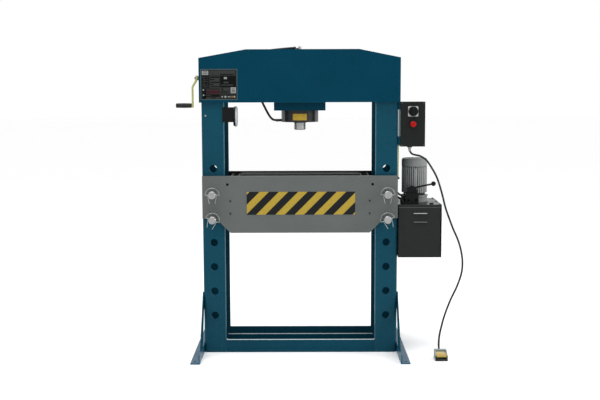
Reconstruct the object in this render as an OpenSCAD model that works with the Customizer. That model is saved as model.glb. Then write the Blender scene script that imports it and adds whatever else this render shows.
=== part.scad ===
// Electro-hydraulic workshop press: an H-frame with a winch-lifted bed, a fixed cylinder,
// a side-mounted power unit, a control box and a foot switch on a lead.
// X runs across the frame, -Y faces the operator and Z is up from the floor.

/* [Frame] */
// Clear width between the two uprights
clear_w = 1000; // [900:10:1100]
// Width of one upright across its front flange
upright_w = 150; // [140:5:170]
// Depth of one upright from front flange to back flange
upright_d = 380; // [360:10:400]
// Plate thickness of an upright
upright_t = 12; // [10:1:14]
// Outer fold radius of an upright
upright_fold_r = 20; // [16:1:24]

/* [Header] */
// Height of the header's lower edge above the floor
header_z = 1682; // [1640:2:1740]
// Height of the header plates in the middle
header_h = 346; // [330:2:370]
// Height of the header plates at their ends
header_end_h = 291; // [280:1:310]
// Length of the header's flat top edge
header_flat = 742; // [600:10:900]
// How far the flat top edge sits off the middle, towards the control box
header_flat_off = 19; // [0:1:30]
// Thickness of the front and back header plates
header_t = 20; // [16:1:25]
// Thickness of the plates that close the header's ends
header_end_t = 12; // [8:1:16]
// How far the uprights reach up between the header plates
header_lap = 268; // [240:2:276]

/* [Base] */
// Height of the two base rails
rail_h = 88; // [80:1:100]
// Width of the front rail's trough
rail_trough_w = 168; // [140:2:180]
// Width of the back rail's floor leg
rail_leg_w = 80; // [60:2:100]
// Plate thickness of the base rails
rail_t = 8; // [6:1:10]
// Length of a foot from front to back
foot_l = 992; // [900:4:1100]
// Leg width of the foot angle
foot_leg = 62; // [56:1:70]
// Thickness of the foot angle
foot_t = 8; // [6:1:10]
// Diameter of a floor anchor hole
anchor_d = 18; // [14:1:22]
// Distance from a foot's end to its anchor hole
anchor_inset = 41; // [30:1:60]
// Height of a brace on the upright
brace_h = 412; // [380:2:460]
// Width of a brace's welded ends
brace_w = 108; // [90:2:130]
// Distance from the upright's face to a brace's toe
brace_reach = 210; // [170:5:240]

/* [Pins] */
// Diameter of a bed pin
pin_d = 50; // [46:1:54]
// Radial clearance of a pin in its holes
pin_clear = 0.5; // [0.3:0.1:0.9]
// Height of the topmost pin hole
hole_top_z = 1245; // [1235:1:1255]
// Distance from one pin hole to the next
hole_pitch = 165; // [160:1:168]
// Number of pin holes in each flange
hole_count = 7; // [6:1:7]
// How far the pins stand out in front of the bed
pin_proud = 102; // [90:2:110]
// How far the long pins stand out behind the bed
pin_tail = 10; // [6:1:20]
// Wire diameter of a pin's spring clip
clip_wire_d = 4; // [3:0.5:6]
// Radius of a clip's bail
clip_bail_r = 46; // [40:1:52]
// Length of a clip's legs below the pin's axis
clip_leg = 57; // [45:1:62]
// Distance from a pin's front end to its clip
clip_inset = 22; // [16:1:25]

/* [Bed] */
// Thickness of a bed plate
bed_t = 25; // [20:1:30]
// Clearance between a bed plate and the upright
bed_gap = 3; // [2:0.5:5]
// Height of the bed's top above its upper pin
bed_over = 118; // [105:1:125]
// Depth of the bed's belly below its lower pin
bed_drop = 96; // [80:1:110]
// Half length of the belly's straight lower edge
belly_x = 462; // [450:1:475]
// How far the bed plate stops short of the upright's outer face
bed_end_gap = 2; // [1:1:6]
// Width of a ledge inside the bed
ledge_w = 130; // [110:2:140]
// Thickness of a ledge
ledge_t = 16; // [12:1:20]
// Depth of the ledges below the bed's top
ledge_drop = 12; // [8:1:16]
// Width of a hollow spacer between the bed plates
spacer_w = 58; // [50:2:62]
// Wall of a spacer
spacer_wall = 10; // [8:1:12]
// Gap between a spacer's outer face and the upright
spacer_gap = 30; // [24:1:36]
// Diameter of the lifting hole in a bed plate's shoulder
lift_hole_d = 18; // [14:1:22]
// Thickness of a rope lug
lug_t = 12; // [8:1:14]
// How far the striped warning strip sits off the middle
strip_off = 6; // [0:1:12]
// Length of the striped warning strip
strip_w = 718; // [640:2:760]
// Height of the striped warning strip
strip_h = 152; // [120:2:160]
// Width of one stripe, measured along the strip
stripe_w = 65; // [50:1:70]
// Thickness of the strip and of its stripes
strip_t = 1; // [0.8:0.1:1.5]

/* [Cylinder] */
// Diameter of the cylinder's lower flange
flange_d = 250; // [244:1:256]
// Height of the cylinder's lower flange
flange_h = 79; // [70:1:90]
// Diameter of the barrel above the flange
barrel_d = 230; // [220:1:236]
// Thickness of the barrel's wall
barrel_wall = 25; // [20:1:30]
// Height of the barrel above the flange
barrel_h = 332; // [320:2:340]
// Diameter of the ram
ram_d = 80; // [70:1:90]
// How far the ram's nose stands out below the cylinder
ram_out = 54; // [45:1:80]
// Thickness of the piston
piston_t = 40; // [30:1:50]
// Thickness of the gland
gland_t = 40; // [30:1:50]
// Thickness of the cylinder's top cap
cap_t = 35; // [28:1:40]
// Width of the mounting plate under the header
mount_w = 340; // [320:2:380]
// Height of the mounting plate below the header
mount_drop = 54; // [48:1:62]
// How far the mounting plate reaches up between the header plates
mount_rise = 30; // [20:1:40]
// Running clearance of ram, shafts and hinge pins
run_clear = 0.05; // [0.02:0.01:0.08]
// Clearance of pieces that seat in one another
seat_clear = 0.1; // [0.05:0.05:0.2]
// Width of the plain plate on the cylinder
label_w = 94; // [80:2:110]
// Height of the plain plate on the cylinder
label_h = 43; // [36:1:50]
// Outer diameter of a hydraulic hose
hose_d = 15; // [12:0.5:16]

/* [Winch] */
// Height of the crank's axis
crank_z = 1844; // [1830:1:1852]
// Distance of the crank's axis in front of the frame's middle
crank_front = 100; // [96:1:104]
// Length of the crank's arm
crank_l = 182; // [160:2:210]
// Diameter of the crank's shaft
crank_shaft_d = 20; // [18:1:22]
// Diameter of the crank's grip
grip_d = 30; // [26:1:34]
// Length of the crank's grip
grip_l = 106; // [90:1:120]
// Distance between the worm and the drum's axis
worm_centre = 60; // [58:1:62]
// Core radius of the rope drum
drum_r = 44; // [42:1:46]
// Diameter of the lifting rope
rope_d = 7; // [6:0.5:7.5]
// Distance of the left rope in front of the middle
rope_left_front = 140; // [139:0.5:141]
// Distance of the right rope in front of the middle
rope_right_front = 156; // [155:0.5:157]

/* [Gauge] */
// Height of the pressure gauge's centre
gauge_z = 1589; // [1580:1:1596]
// Distance of the gauge's centre in front of the middle
gauge_front = 132; // [128:1:136]
// Diameter of the gauge's bezel
bezel_d = 135; // [128:1:140]
// Depth of the gauge's bezel
bezel_t = 16; // [14:1:18]
// Diameter of the gauge's back flange
gauge_flange_d = 126; // [118:1:128]

/* [Control box] */
// Width of the control box
box_w = 161; // [150:1:175]
// Height of the control box
box_h = 295; // [280:1:310]
// Depth of the control box
box_d = 130; // [115:1:140]
// Height of the control box's lower edge
box_z = 1389; // [1380:1:1400]
// Sheet thickness of the control box
box_t = 3; // [2:0.5:4]
// Gap between the upright and the control box
box_stand = 15; // [12:1:20]
// Side of the main switch's plate
switch_plate_w = 69; // [62:1:76]
// Diameter of the main switch's knob
knob_d = 64; // [56:1:66]
// Depth of the main switch's knob
knob_t = 22; // [16:1:28]
// Diameter of the stop button
button_d = 42; // [38:1:46]
// Travel of the stop button
button_travel = 6; // [4:1:8]

/* [Power unit] */
// Width of the cabinet
cab_w = 288; // [280:1:300]
// Depth of the cabinet
cab_d = 410; // [400:2:430]
// Height of the cabinet
cab_h = 340; // [320:2:360]
// Height of the cabinet's floor above the ground
cab_z = 648; // [630:2:670]
// Sheet thickness of the cabinet, its door and the tank
cab_t = 3; // [2:0.5:4]
// Distance between the upright and the cabinet
cab_stand = 5; // [4:1:8]
// Thickness of the lid plate
lid_t = 15; // [12:1:18]
// Outer diameter of the motor over its fins
motor_d = 172; // [164:1:176]
// Height of the finned motor housing
motor_h = 196; // [180:2:210]
// Number of cooling fins on the motor
fin_count = 36; // [28:2:40]
// Depth of a cooling fin
fin_depth = 11; // [8:1:13]
// Thickness of a cooling fin
fin_t = 8; // [6:0.5:9]
// Height of the motor's fan cowl
cowl_h = 56; // [50:1:64]
// Height of the bell between lid and motor
bell_h = 46; // [40:1:52]
// Diameter of the motor's shaft
shaft_d = 24; // [20:1:26]

/* [Valve] */
// Width of the valve block
valve_w = 86; // [80:1:92]
// Depth of the valve block
valve_d = 76; // [70:1:80]
// Height of the valve block
valve_h = 71; // [66:1:76]
// Height of the lever's neck above the block
neck_h = 39; // [36:1:42]
// Diameter of the lever's ball
ball_d = 32; // [28:1:36]
// Distance from the lever's pivot to its ball
lever_l = 144; // [130:2:160]
// Rise of the lever towards its ball
lever_rise = 11.6; // [8:0.2:14]

/* [Foot switch] */
// Width of the foot switch
pedal_w = 80; // [74:1:88]
// Depth of the foot switch
pedal_l = 90; // [84:1:96]
// Height of the foot switch at its back
pedal_h = 60; // [54:1:64]
// Height of the foot switch's cheeks at its front
pedal_toe_h = 34; // [32:1:40]
// Thickness of the foot switch's cheeks and floor
pedal_t = 6; // [5:0.5:7]
// Diameter of the lead to the foot switch
cord_d = 13; // [9:0.5:14]

/* [Hidden] */

// Diameter of the barrel's bore
bore_d = barrel_d - 2 * barrel_wall;
$fn = 64;

// Cuts run past a face by this much
over = 1;

// Frame levels and faces
in_x = clear_w / 2;
out_x = in_x + upright_w;
pin_x = in_x + upright_w / 2;
web_in_x = out_x - upright_t;
face_y = upright_d / 2;
flange_in_y = face_y - upright_t;
header_top_z = header_z + header_h;
header_x = out_x + header_end_t;
upright_h = header_z + header_lap;
header_face_y = face_y + header_t;
anchor_span = foot_l - 2 * anchor_inset;

// Pin levels; the bed hangs on the second and third holes
hole_d = pin_d + 2 * pin_clear;
upper_pin_z = hole_top_z - hole_pitch;
lower_pin_z = upper_pin_z - hole_pitch;

// Bed faces
bed_in_y = face_y + bed_gap;
bed_out_y = bed_in_y + bed_t;
bed_x = out_x - bed_end_gap;
bed_top_z = upper_pin_z + bed_over;
bed_low_z = lower_pin_z - bed_drop;
ledge_top_z = bed_top_z - ledge_drop;
spacer_x = in_x - spacer_gap;
spacer_in_x = spacer_x - spacer_w;
pin_front_y = -bed_out_y - pin_proud;
clip_y = pin_front_y + clip_inset;

// Cylinder levels
shoulder_z = header_z - mount_drop;
cyl_low_z = shoulder_z - flange_h;
barrel_top_z = shoulder_z + barrel_h;
cap_top_z = barrel_top_z + cap_t;
nose_z = cyl_low_z - ram_out;
piston_top_gap = 15;
piston_top_z = barrel_top_z - piston_top_gap;
fitting_d = 24;
nipple_d = 18;
elbow_rise = 59;
elbow_out = 24;
elbow_drop = 10;
low_port_z = cyl_low_z + 11;
low_nipple_l = 17;
nipple_in = 8;

// Winch places
crank_y = -crank_front;
drum_z = crank_z - worm_centre;
rope_line_r = drum_r + rope_d / 2 + 0.4;
rope_x = pin_x - rope_line_r;
rope_left_y = -rope_left_front;
rope_right_y = -rope_right_front;
pulley_x = rope_x - rope_line_r;
pulley_w = 14;
lug_low_drop = 110;
lug_top_drop = 50;
lug_top_z = bed_top_z - lug_top_drop;
lug_reach = rope_x + 18;

// Gauge places, measured along X from the upright's inner edge
gauge_y = -gauge_front;
gauge_box_l = 60;
gauge_flange_t = 8;
gauge_back_x = -in_x + gauge_box_l;
gauge_bezel_x = gauge_back_x + gauge_flange_t;
gauge_ring_w = 10;

// Control box faces
box_x = out_x + box_stand;
box_front_y = -face_y - 6;
box_back_y = box_front_y + box_d;
box_mid_x = box_x + box_w / 2;
cover_t = 4;
cover_y = box_front_y - cover_t;
switch_up = 232;
switch_z = box_z + switch_up;
button_up = 148;
button_z = box_z + button_up;
gland_in = 67;
gland_back = 61;
gland_drop = 17;
cord_exit = [box_x + gland_in, box_front_y + gland_back, box_z - gland_drop];

// Power unit faces
cab_x = out_x + cab_stand;
cab_end_x = cab_x + cab_w;
cab_y = -face_y - 8;
cab_back_y = cab_y + cab_d;
cab_top_z = cab_z + cab_h;
lid_top_z = cab_top_z + lid_t;
door_gap = 0.7;
door_y = cab_y - door_gap - cab_t;
knuckle_d = 9;
hinge_x = cab_end_x - knuckle_d / 2;
hinge_y = cab_y - door_gap - knuckle_d / 2;
hinge_pin_d = 5;
hinge_h = 56;
knuckle_h = 16;
hinge_zs = [cab_z + 40, cab_top_z - 40 - hinge_h];
motor_in = 127;
motor_x = cab_x + motor_in;
motor_y = 20;
motor_z = lid_top_z + bell_h;
motor_top_z = motor_z + motor_h;
motor_core_r = motor_d / 2 - fin_depth;
bell_low_r = motor_d / 2 + 9;
bell_top_r = motor_d / 2 + 7;
bell_body_r = motor_d / 2 + 3;
rotor_r = 46;
rotor_gap = 0.6;
shaft_bore_r = shaft_d / 2 + run_clear;

// Valve places
valve_in = 95;
valve_x = cab_x + valve_in;
valve_bell_gap = 4;
valve_y = motor_y - bell_low_r - valve_bell_gap - valve_d / 2;
valve_top_z = lid_top_z + valve_h;
lever_z = valve_top_z + 32;
lever_x = valve_x + 5;
neck_w = 67;
neck_d = 50;
slot_w = 24;
lever_hub_r = 14;
lever_pin_d = 10;
hose_port_1 = [valve_x - valve_w / 2 - 12, valve_y - 15, lid_top_z + 53];
hose_port_2 = [valve_x - valve_w / 2 - 12, valve_y + 15, lid_top_z + 27];

// Foot switch places
pedal_in = 21;
pedal_front = 335;
pedal_x = cab_end_x - pedal_in;
pedal_back_y = -pedal_front;
treadle_pin_d = 6;
treadle_gap = 1;
treadle_t = 7;
treadle_pin_back = 12;
treadle_pin_z = pedal_h - 11;
cord_in_z = 28;

// Gap at the ends of the lead and the hoses
end_gap = 0.7;

// Lead from the control box to the foot switch
cord_y = cord_exit[1];
cord_z = cord_exit[2];
cord_route = [
    [cord_exit[0], cord_y, cord_z - end_gap], [cord_exit[0] + 0.5, cord_y, cord_z - 11],
    [out_x + 89, cord_y, cord_z - 25.5], [out_x + 99.5, cord_y, cord_z - 35.5],
    [out_x + 113, cord_y, cord_z - 40.5], [out_x + 133, cord_y - 1, cord_z - 44.5],
    [out_x + 158, cord_y - 2, cord_z - 52], [out_x + 194, cord_y - 5, cord_z - 77],
    [out_x + 229, cord_y - 7, cord_z - 127],
    [out_x + 262, cord_y - 10, cord_z - 187], [out_x + 285, cord_y - 15, cord_z - 252],
    [out_x + 305, cord_y - 20, cord_z - 324], [out_x + 322, cord_y - 25, cord_z - 392],
    [out_x + 346, cord_y - 30, cord_z - 462], [out_x + 374, cord_y - 35, cord_z - 536],
    [out_x + 406, cord_y - 45, cord_z - 610], [out_x + 427, cord_y - 55, cord_z - 686],
    [out_x + 435, cord_y - 65, cord_z - 760], [out_x + 427, cord_y - 75, cord_z - 832],
    [out_x + 396, cord_y - 90, cord_z - 917], [pedal_x + 80, cord_y - 105, 367],
    [pedal_x + 40, cord_y - 117, 265], [pedal_x + 14, pedal_back_y + 71, 173],
    [pedal_x + 3, pedal_back_y + 62, 122], [pedal_x, pedal_back_y + 55, 76],
    [pedal_x, pedal_back_y + 50, cord_in_z + 28], [pedal_x, pedal_back_y + 39, cord_in_z + 12],
    [pedal_x, pedal_back_y + 23, cord_in_z + 2.5], [pedal_x, pedal_back_y + 10, cord_in_z],
    [pedal_x, pedal_back_y + end_gap, cord_in_z]
];
// Hose from the valve through the right upright to the elbow on the cylinder's cap
hose_1_y = hose_port_1[1];
hose_1_z = hose_port_1[2];
hose_web_gap = 12;
hose_x = web_in_x - hose_web_gap;
cap_hose_z = cap_top_z + elbow_rise - elbow_drop;
top_hose_route = [
    [hose_port_1[0] - end_gap, hose_1_y, hose_1_z], [hose_port_1[0] - 8, hose_1_y, hose_1_z],
    [out_x + 26, hose_1_y, hose_1_z + 4], [out_x + 7, hose_1_y, hose_1_z + 16],
    [out_x - 10, hose_1_y, hose_1_z + 40], [hose_x + 2, hose_1_y, hose_1_z + 74],
    [hose_x, hose_1_y, hose_1_z + 144], [hose_x, hose_1_y, header_z - 282], [hose_x, hose_1_y, header_z - 82],
    [hose_x - 2, hose_1_y + 3, header_z + 58], [hose_x - 18, hose_1_y + 13, header_z + 138],
    [in_x + 60, hose_1_y + 35, header_z + 190], [in_x - 10, hose_1_y + 70, header_z + 206],
    [0.84 * in_x, 0, header_z + 208], [0.68 * in_x, 80, header_z + 208], [0.48 * in_x, 145, header_z + 208],
    [0.24 * in_x, 165, header_z + 208], [0, 168, header_z + 208], [-0.24 * in_x, 165, header_z + 208],
    [-0.44 * in_x, 145, header_z + 211], [-0.59 * in_x, 105, header_z + 226], [-0.66 * in_x, 55, header_z + 258],
    [-0.64 * in_x, 18, cap_hose_z - 62], [-0.54 * in_x, 3, cap_hose_z - 29], [-0.4 * in_x, 0, cap_hose_z - 15],
    [-0.26 * in_x, 0, cap_hose_z - 7], [-0.12 * in_x, 0, cap_hose_z - 1],
    [-elbow_out - 10, 0, cap_hose_z], [-elbow_out - end_gap, 0, cap_hose_z]
];
// Hose from the valve through the right upright to the cylinder's lower port
low_nipple_x = -flange_d / 2 - low_nipple_l;
hose_2_y = hose_port_2[1];
hose_2_z = hose_port_2[2];
lower_hose_route = [
    [hose_port_2[0] - end_gap, hose_2_y, hose_2_z], [hose_port_2[0] - 8, hose_2_y, hose_2_z],
    [out_x + 26, hose_2_y, hose_2_z + 4], [out_x + 7, hose_2_y, hose_2_z + 16],
    [out_x - 10, hose_2_y, hose_2_z + 40], [hose_x + 2, hose_2_y, hose_2_z + 74],
    [hose_x, hose_2_y, hose_2_z + 150], [hose_x, hose_2_y, header_z - 282], [hose_x, hose_2_y, header_z - 82],
    [hose_x - 2, hose_2_y + 3, header_z + 18], [hose_x - 18, hose_2_y + 13, header_z + 93],
    [in_x + 60, hose_2_y + 37, header_z + 140], [in_x - 10, hose_2_y + 75, header_z + 156],
    [0.84 * in_x, 40, header_z + 158], [0.68 * in_x, 110, header_z + 158], [0.48 * in_x, 150, header_z + 158],
    [0.24 * in_x, 165, header_z + 158], [0, 168, header_z + 158], [-0.22 * in_x, 163, header_z + 156],
    [-0.4 * in_x, 135, header_z + 143], [-0.51 * in_x, 90, header_z + 108], [-0.544 * in_x, 45, header_z + 60],
    [-0.516 * in_x, 12, header_z + 8], [-0.468 * in_x, 0, low_port_z + 80], [-0.416 * in_x, 0, low_port_z + 32],
    [-0.37 * in_x, 0, low_port_z + 6], [low_nipple_x - 16, 0, low_port_z],
    [low_nipple_x - end_gap, 0, low_port_z]
];
// Earth wire from the control box down the upright's outer face
earth_d = 6;
earth_lug_d = 16;
earth_lug_l = 10;
earth_back = 46;
earth_drop = 213;
earth_off = 6;
bracket_low_up = 11;
earth_x = out_x + earth_off;
earth_y = box_front_y + earth_back;
earth_lug_z = box_z - earth_drop;
earth_top_z = box_z + bracket_low_up - end_gap;
earth_run = earth_top_z - earth_lug_z;
earth_route = [
    [earth_x, earth_y, earth_top_z], [earth_x, earth_y, earth_top_z - 0.04 * earth_run],
    [earth_x + 0.2 * earth_off, earth_y, earth_top_z - 0.3 * earth_run],
    [earth_x, earth_y, earth_top_z - 0.6 * earth_run], [earth_x, earth_y, earth_lug_z]
];

// A block between two opposite corners
module span(low, high) {
    translate(low)
        cube(high - low);
}

// A round bar along X from one end to the other
module bar_x(d, x0, x1, y, z) {
    translate([x0, y, z])
        rotate([0, 90, 0])
            cylinder(d = d, h = x1 - x0);
}

// A round bar along Y from one end to the other
module bar_y(d, x, y0, y1, z) {
    translate([x, y0, z])
        rotate([-90, 0, 0])
            cylinder(d = d, h = y1 - y0);
}

// Everything given, and its mirror image on the other side of the frame
module both_sides() {
    children();
    mirror([1, 0, 0])
        children();
}

// A flat outline in X and Z, standing between two Y planes
module upright_plate(y0, y1) {
    translate([0, y1, 0])
        rotate([90, 0, 0])
            linear_extrude(height = y1 - y0)
                children();
}

// A flat outline in Y and Z, standing between two X planes
module side_plate(x0, x1) {
    translate([x0, 0, 0])
        rotate([90, 0, 90])
            linear_extrude(height = x1 - x0)
                children();
}

// A rectangle with two round corners on its right side
module half_round_square(x0, x1, half_d, r) {
    translate([x0, -half_d])
        square([x1 - r - x0, 2 * half_d]);
    translate([x0, r - half_d])
        square([x1 - x0, 2 * (half_d - r)]);
    for (s = [-1, 1])
        translate([x1 - r, s * (half_d - r)])
            circle(r = r);
}

// Points and tangents of a smooth curve through a route
function curve_at(a, b, c, d, t) =
    0.5 * (2 * b + (c - a) * t + (2 * a - 5 * b + 4 * c - d) * t * t + (3 * b - a - 3 * c + d) * t * t * t);
function route_point(route, i, t) =
    let (last = len(route) - 1)
    curve_at(route[max(i - 1, 0)], route[i], route[i + 1], route[min(i + 2, last)], t);
function smooth_route(route, steps) = concat(
    [for (i = [0 : len(route) - 2], k = [0 : steps - 1]) route_point(route, i, k / steps)],
    [route[len(route) - 1]]
);
function unit(v) = v / norm(v);
function tangent(path, i) = unit(path[min(i + 1, len(path) - 1)] - path[max(i - 1, 0)]);
function carried_normal(normal, along) = unit(normal - along * (normal * along));

// A round tube swept along a route, with flat ends
module swept_tube(route, d, sides, steps) {
    path = smooth_route(route, steps);
    count = len(path);
    normals = [
        for (i = 0, n = carried_normal([0.3, 0.9, 0.2], tangent(path, 0)); i < count;
             i = i + 1, n = i < count ? carried_normal(n, tangent(path, i)) : n) n
    ];
    points = [
        for (i = [0 : count - 1], j = [0 : sides - 1])
            let (across = cross(tangent(path, i), normals[i]), angle = 360 * j / sides)
            path[i] + d / 2 * (normals[i] * cos(angle) + across * sin(angle))
    ];
    walls = [
        for (i = [0 : count - 2], j = [0 : sides - 1], half = [0, 1])
            let (a = i * sides + j, b = i * sides + (j + 1) % sides)
            half == 0 ? [a, a + sides, b + sides] : [a, b + sides, b]
    ];
    ends = [
        [for (j = [0 : sides - 1]) j],
        [for (j = [sides - 1 : -1 : 0]) (count - 1) * sides + j]
    ];
    polyhedron(points, concat(walls, ends));
}

// Frame

frame_blue = [0.02, 0.24, 0.32];

// A folded channel with its web on the outside and its pin holes in both flanges
module upright_channel() {
    difference() {
        translate([in_x, 0, 0])
            linear_extrude(height = upright_h)
                difference() {
                    half_round_square(0, upright_w, face_y, upright_fold_r);
                    half_round_square(-over, upright_w - upright_t, flange_in_y, upright_fold_r - upright_t);
                }
        for (k = [0 : hole_count - 1])
            bar_y(hole_d, pin_x, -face_y - over, face_y + over, hole_top_z - k * hole_pitch);
    }
}

crank_hole_d = crank_shaft_d + 6;

module left_upright() {
    color(frame_blue)
        difference() {
            mirror([1, 0, 0])
                upright_channel();
            bar_x(crank_hole_d, -out_x - over, -web_in_x + over, crank_y, crank_z);
        }
}

hose_hole_w = 72;
hose_hole_low_z = hose_port_2[2] - 4;
hose_hole_high_z = hose_port_1[2] + 70;

module right_upright() {
    color(frame_blue)
        difference() {
            upright_channel();
            span([web_in_x - over, valve_y - hose_hole_w / 2, hose_hole_low_z],
                 [out_x + over, valve_y + hose_hole_w / 2, hose_hole_high_z]);
        }
}

module header_outline() {
    polygon([
        [-header_x, header_z], [header_x, header_z],
        [header_x, header_z + header_end_h], [header_flat_off + header_flat / 2, header_top_z],
        [header_flat_off - header_flat / 2, header_top_z], [-header_x, header_z + header_end_h]
    ]);
}

pulley_boss_d = 36;
pulley_axle_d = 16;
pulley_axle_in_y = rope_right_y + pulley_w / 2 + 8;
pulley_boss_in_y = rope_right_y - pulley_w / 2 - 0.5;

module header_front_plate() {
    color(frame_blue) {
        upright_plate(-header_face_y, -face_y)
            header_outline();
        bar_y(pulley_boss_d, pulley_x, -face_y, pulley_boss_in_y, drum_z);
        bar_y(pulley_axle_d, pulley_x, pulley_boss_in_y, pulley_axle_in_y, drum_z);
    }
}

module header_back_plate() {
    color(frame_blue)
        upright_plate(face_y, header_face_y)
            header_outline();
}

module header_end_plates() {
    color(frame_blue)
        difference() {
            both_sides()
                span([out_x, -face_y, header_z], [header_x, face_y, header_z + header_end_h]);
            bar_x(crank_hole_d, -header_x - over, -out_x + over, crank_y, crank_z);
        }
}

module cylinder_mount() {
    color(frame_blue)
        difference() {
            span([-mount_w / 2, -face_y, shoulder_z], [mount_w / 2, face_y, header_z + mount_rise]);
            translate([0, 0, shoulder_z - over])
                cylinder(d = barrel_d + 2 * seat_clear, h = mount_drop + mount_rise + 2 * over);
        }
}

module base_front_rail() {
    color(frame_blue)
        side_plate(-in_x, in_x)
            translate([-face_y, 0])
                difference() {
                    square([rail_trough_w, rail_h]);
                    translate([rail_t, rail_t])
                        square([rail_trough_w - 2 * rail_t, rail_h]);
                }
}

module base_back_rail() {
    color(frame_blue)
        side_plate(-in_x, in_x) {
            translate([face_y - rail_t, 0])
                square([rail_t, rail_h]);
            translate([face_y - rail_leg_w, 0])
                square([rail_leg_w, rail_t]);
        }
}

anchor_x = out_x + foot_leg / 2 + foot_t / 2;

module feet() {
    color(frame_blue)
        both_sides()
            difference() {
                union() {
                    span([out_x, -foot_l / 2, 0], [out_x + foot_t, foot_l / 2, foot_leg]);
                    span([out_x, -foot_l / 2, 0], [out_x + foot_leg, foot_l / 2, foot_t]);
                }
                for (s = [-1, 1])
                    translate([anchor_x, s * anchor_span / 2, -over])
                        cylinder(d = anchor_d, h = foot_t + 2 * over);
            }
}

brace_on_web = 20;

module foot_braces() {
    color(frame_blue)
        both_sides()
            for (s = [-1, 1])
                scale([1, s, 1])
                    side_plate(out_x, out_x + foot_t)
                        polygon([
                            [face_y - brace_on_web, brace_h],
                            [face_y - brace_on_web, brace_h - brace_w],
                            [face_y + brace_reach - brace_w, foot_leg],
                            [face_y + brace_reach, foot_leg]
                        ]);
}

// Cylinder and hoses

module cylinder_barrel() {
    color([0.25, 0.25, 0.26])
        difference() {
            union() {
                translate([0, 0, cyl_low_z])
                    cylinder(d = flange_d, h = flange_h);
                translate([0, 0, shoulder_z])
                    cylinder(d = barrel_d, h = barrel_h);
            }
            translate([0, 0, cyl_low_z - over])
                cylinder(d = bore_d, h = flange_h + barrel_h + 2 * over);
            bar_x(nipple_d + 2 * seat_clear, -flange_d / 2 - over, -flange_d / 2 + nipple_in + over, 0, low_port_z);
        }
}

label_t = 1;

module cylinder_label() {
    color([0.75, 0.62, 0.2])
        intersection() {
            translate([0, 0, cyl_low_z])
                difference() {
                    cylinder(d = flange_d + 2 * label_t, h = flange_h);
                    translate([0, 0, -over])
                        cylinder(d = flange_d, h = flange_h + 2 * over);
                }
            translate([-label_w / 2, -flange_d, cyl_low_z + flange_h / 2 - label_h / 2 - 5])
                cube([label_w, flange_d, label_h]);
        }
}

cap_chamfer = 8;

// The gland that guides the ram, and the cap that closes the barrel's top
module cylinder_ends() {
    color([0.6, 0.55, 0.4])
        translate([0, 0, cyl_low_z])
            difference() {
                cylinder(d = bore_d - 2 * seat_clear, h = gland_t);
                translate([0, 0, -over])
                    cylinder(d = ram_d + 2 * run_clear, h = gland_t + 2 * over);
            }
    color([0.25, 0.25, 0.26])
        translate([0, 0, barrel_top_z])
            rotate_extrude()
                polygon([
                    [0, 0], [barrel_d / 2, 0], [barrel_d / 2, cap_t - cap_chamfer],
                    [barrel_d / 2 - cap_chamfer, cap_t], [0, cap_t]
                ]);
}

module hose_fittings() {
    color([0.75, 0.75, 0.72]) {
        translate([0, 0, cap_top_z])
            cylinder(d = fitting_d, h = elbow_rise);
        bar_x(fitting_d - 4, -elbow_out, 0, 0, cap_top_z + elbow_rise - elbow_drop);
        bar_x(nipple_d, -flange_d / 2 - low_nipple_l, -flange_d / 2 + nipple_in, 0, low_port_z);
        for (p = [hose_port_1, hose_port_2])
            bar_x(nipple_d, p[0], valve_x - valve_w / 2, p[1], p[2]);
    }
}

module top_hose() {
    color([0.06, 0.06, 0.06])
        swept_tube(top_hose_route, hose_d, 8, 2);
}

module lower_hose() {
    color([0.06, 0.06, 0.06])
        swept_tube(lower_hose_route, hose_d, 8, 2);
}

ram_chamfer = 4;

module ram() {
    color([0.62, 0.63, 0.62])
        rotate_extrude()
            polygon([
                [0, nose_z], [ram_d / 2 - ram_chamfer, nose_z], [ram_d / 2, nose_z + ram_chamfer],
                [ram_d / 2, piston_top_z - piston_t], [bore_d / 2 - run_clear, piston_top_z - piston_t],
                [bore_d / 2 - run_clear, piston_top_z], [0, piston_top_z]
            ]);
}

plate_w = 242;
plate_h = 202;
plate_t = 2;
plate_inset = 12;

module type_plate() {
    color([0.05, 0.06, 0.07])
        span([-header_x + plate_inset, -header_face_y - plate_t, header_z + 17],
             [-header_x + plate_inset + plate_w, -header_face_y, header_z + 17 + plate_h]);
}

// Winch, ropes and pulley

gearbox_front_y = rope_left_y + 18;
gearbox_back_y = crank_y + 44;
gearbox_low = 36;
gearbox_high = 40;
gearbox_l = 98;
gearbox_fillet = 14;
crank_shaft_in = 60;
drum_shaft_d = 20;
drum_shaft_in = 50;

module winch_gearbox() {
    color([0.2, 0.21, 0.22])
        difference() {
            union() {
                span([-web_in_x, gearbox_front_y, drum_z - gearbox_low],
                     [-web_in_x + gearbox_l, gearbox_back_y, crank_z + gearbox_high]);
                bar_x(54, -web_in_x + gearbox_l, -web_in_x + gearbox_l + gearbox_fillet, crank_y, crank_z);
            }
            bar_x(crank_shaft_d + 2 * run_clear, -web_in_x - over, -web_in_x + crank_shaft_in + over,
                  crank_y, crank_z);
            bar_y(drum_shaft_d + 2 * run_clear, -pin_x, gearbox_front_y - over,
                  gearbox_front_y + drum_shaft_in + over, drum_z);
        }
}

crank_hub_x = -header_x - 20;
crank_arm_x = crank_hub_x - 33;
crank_arm_t = 10;
crank_arm_w = 24;
crank_bend_z = crank_z - 62;
grip_pin_d = 12;
grip_z = crank_z - crank_l;
grip_end_gap = 1;

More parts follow.
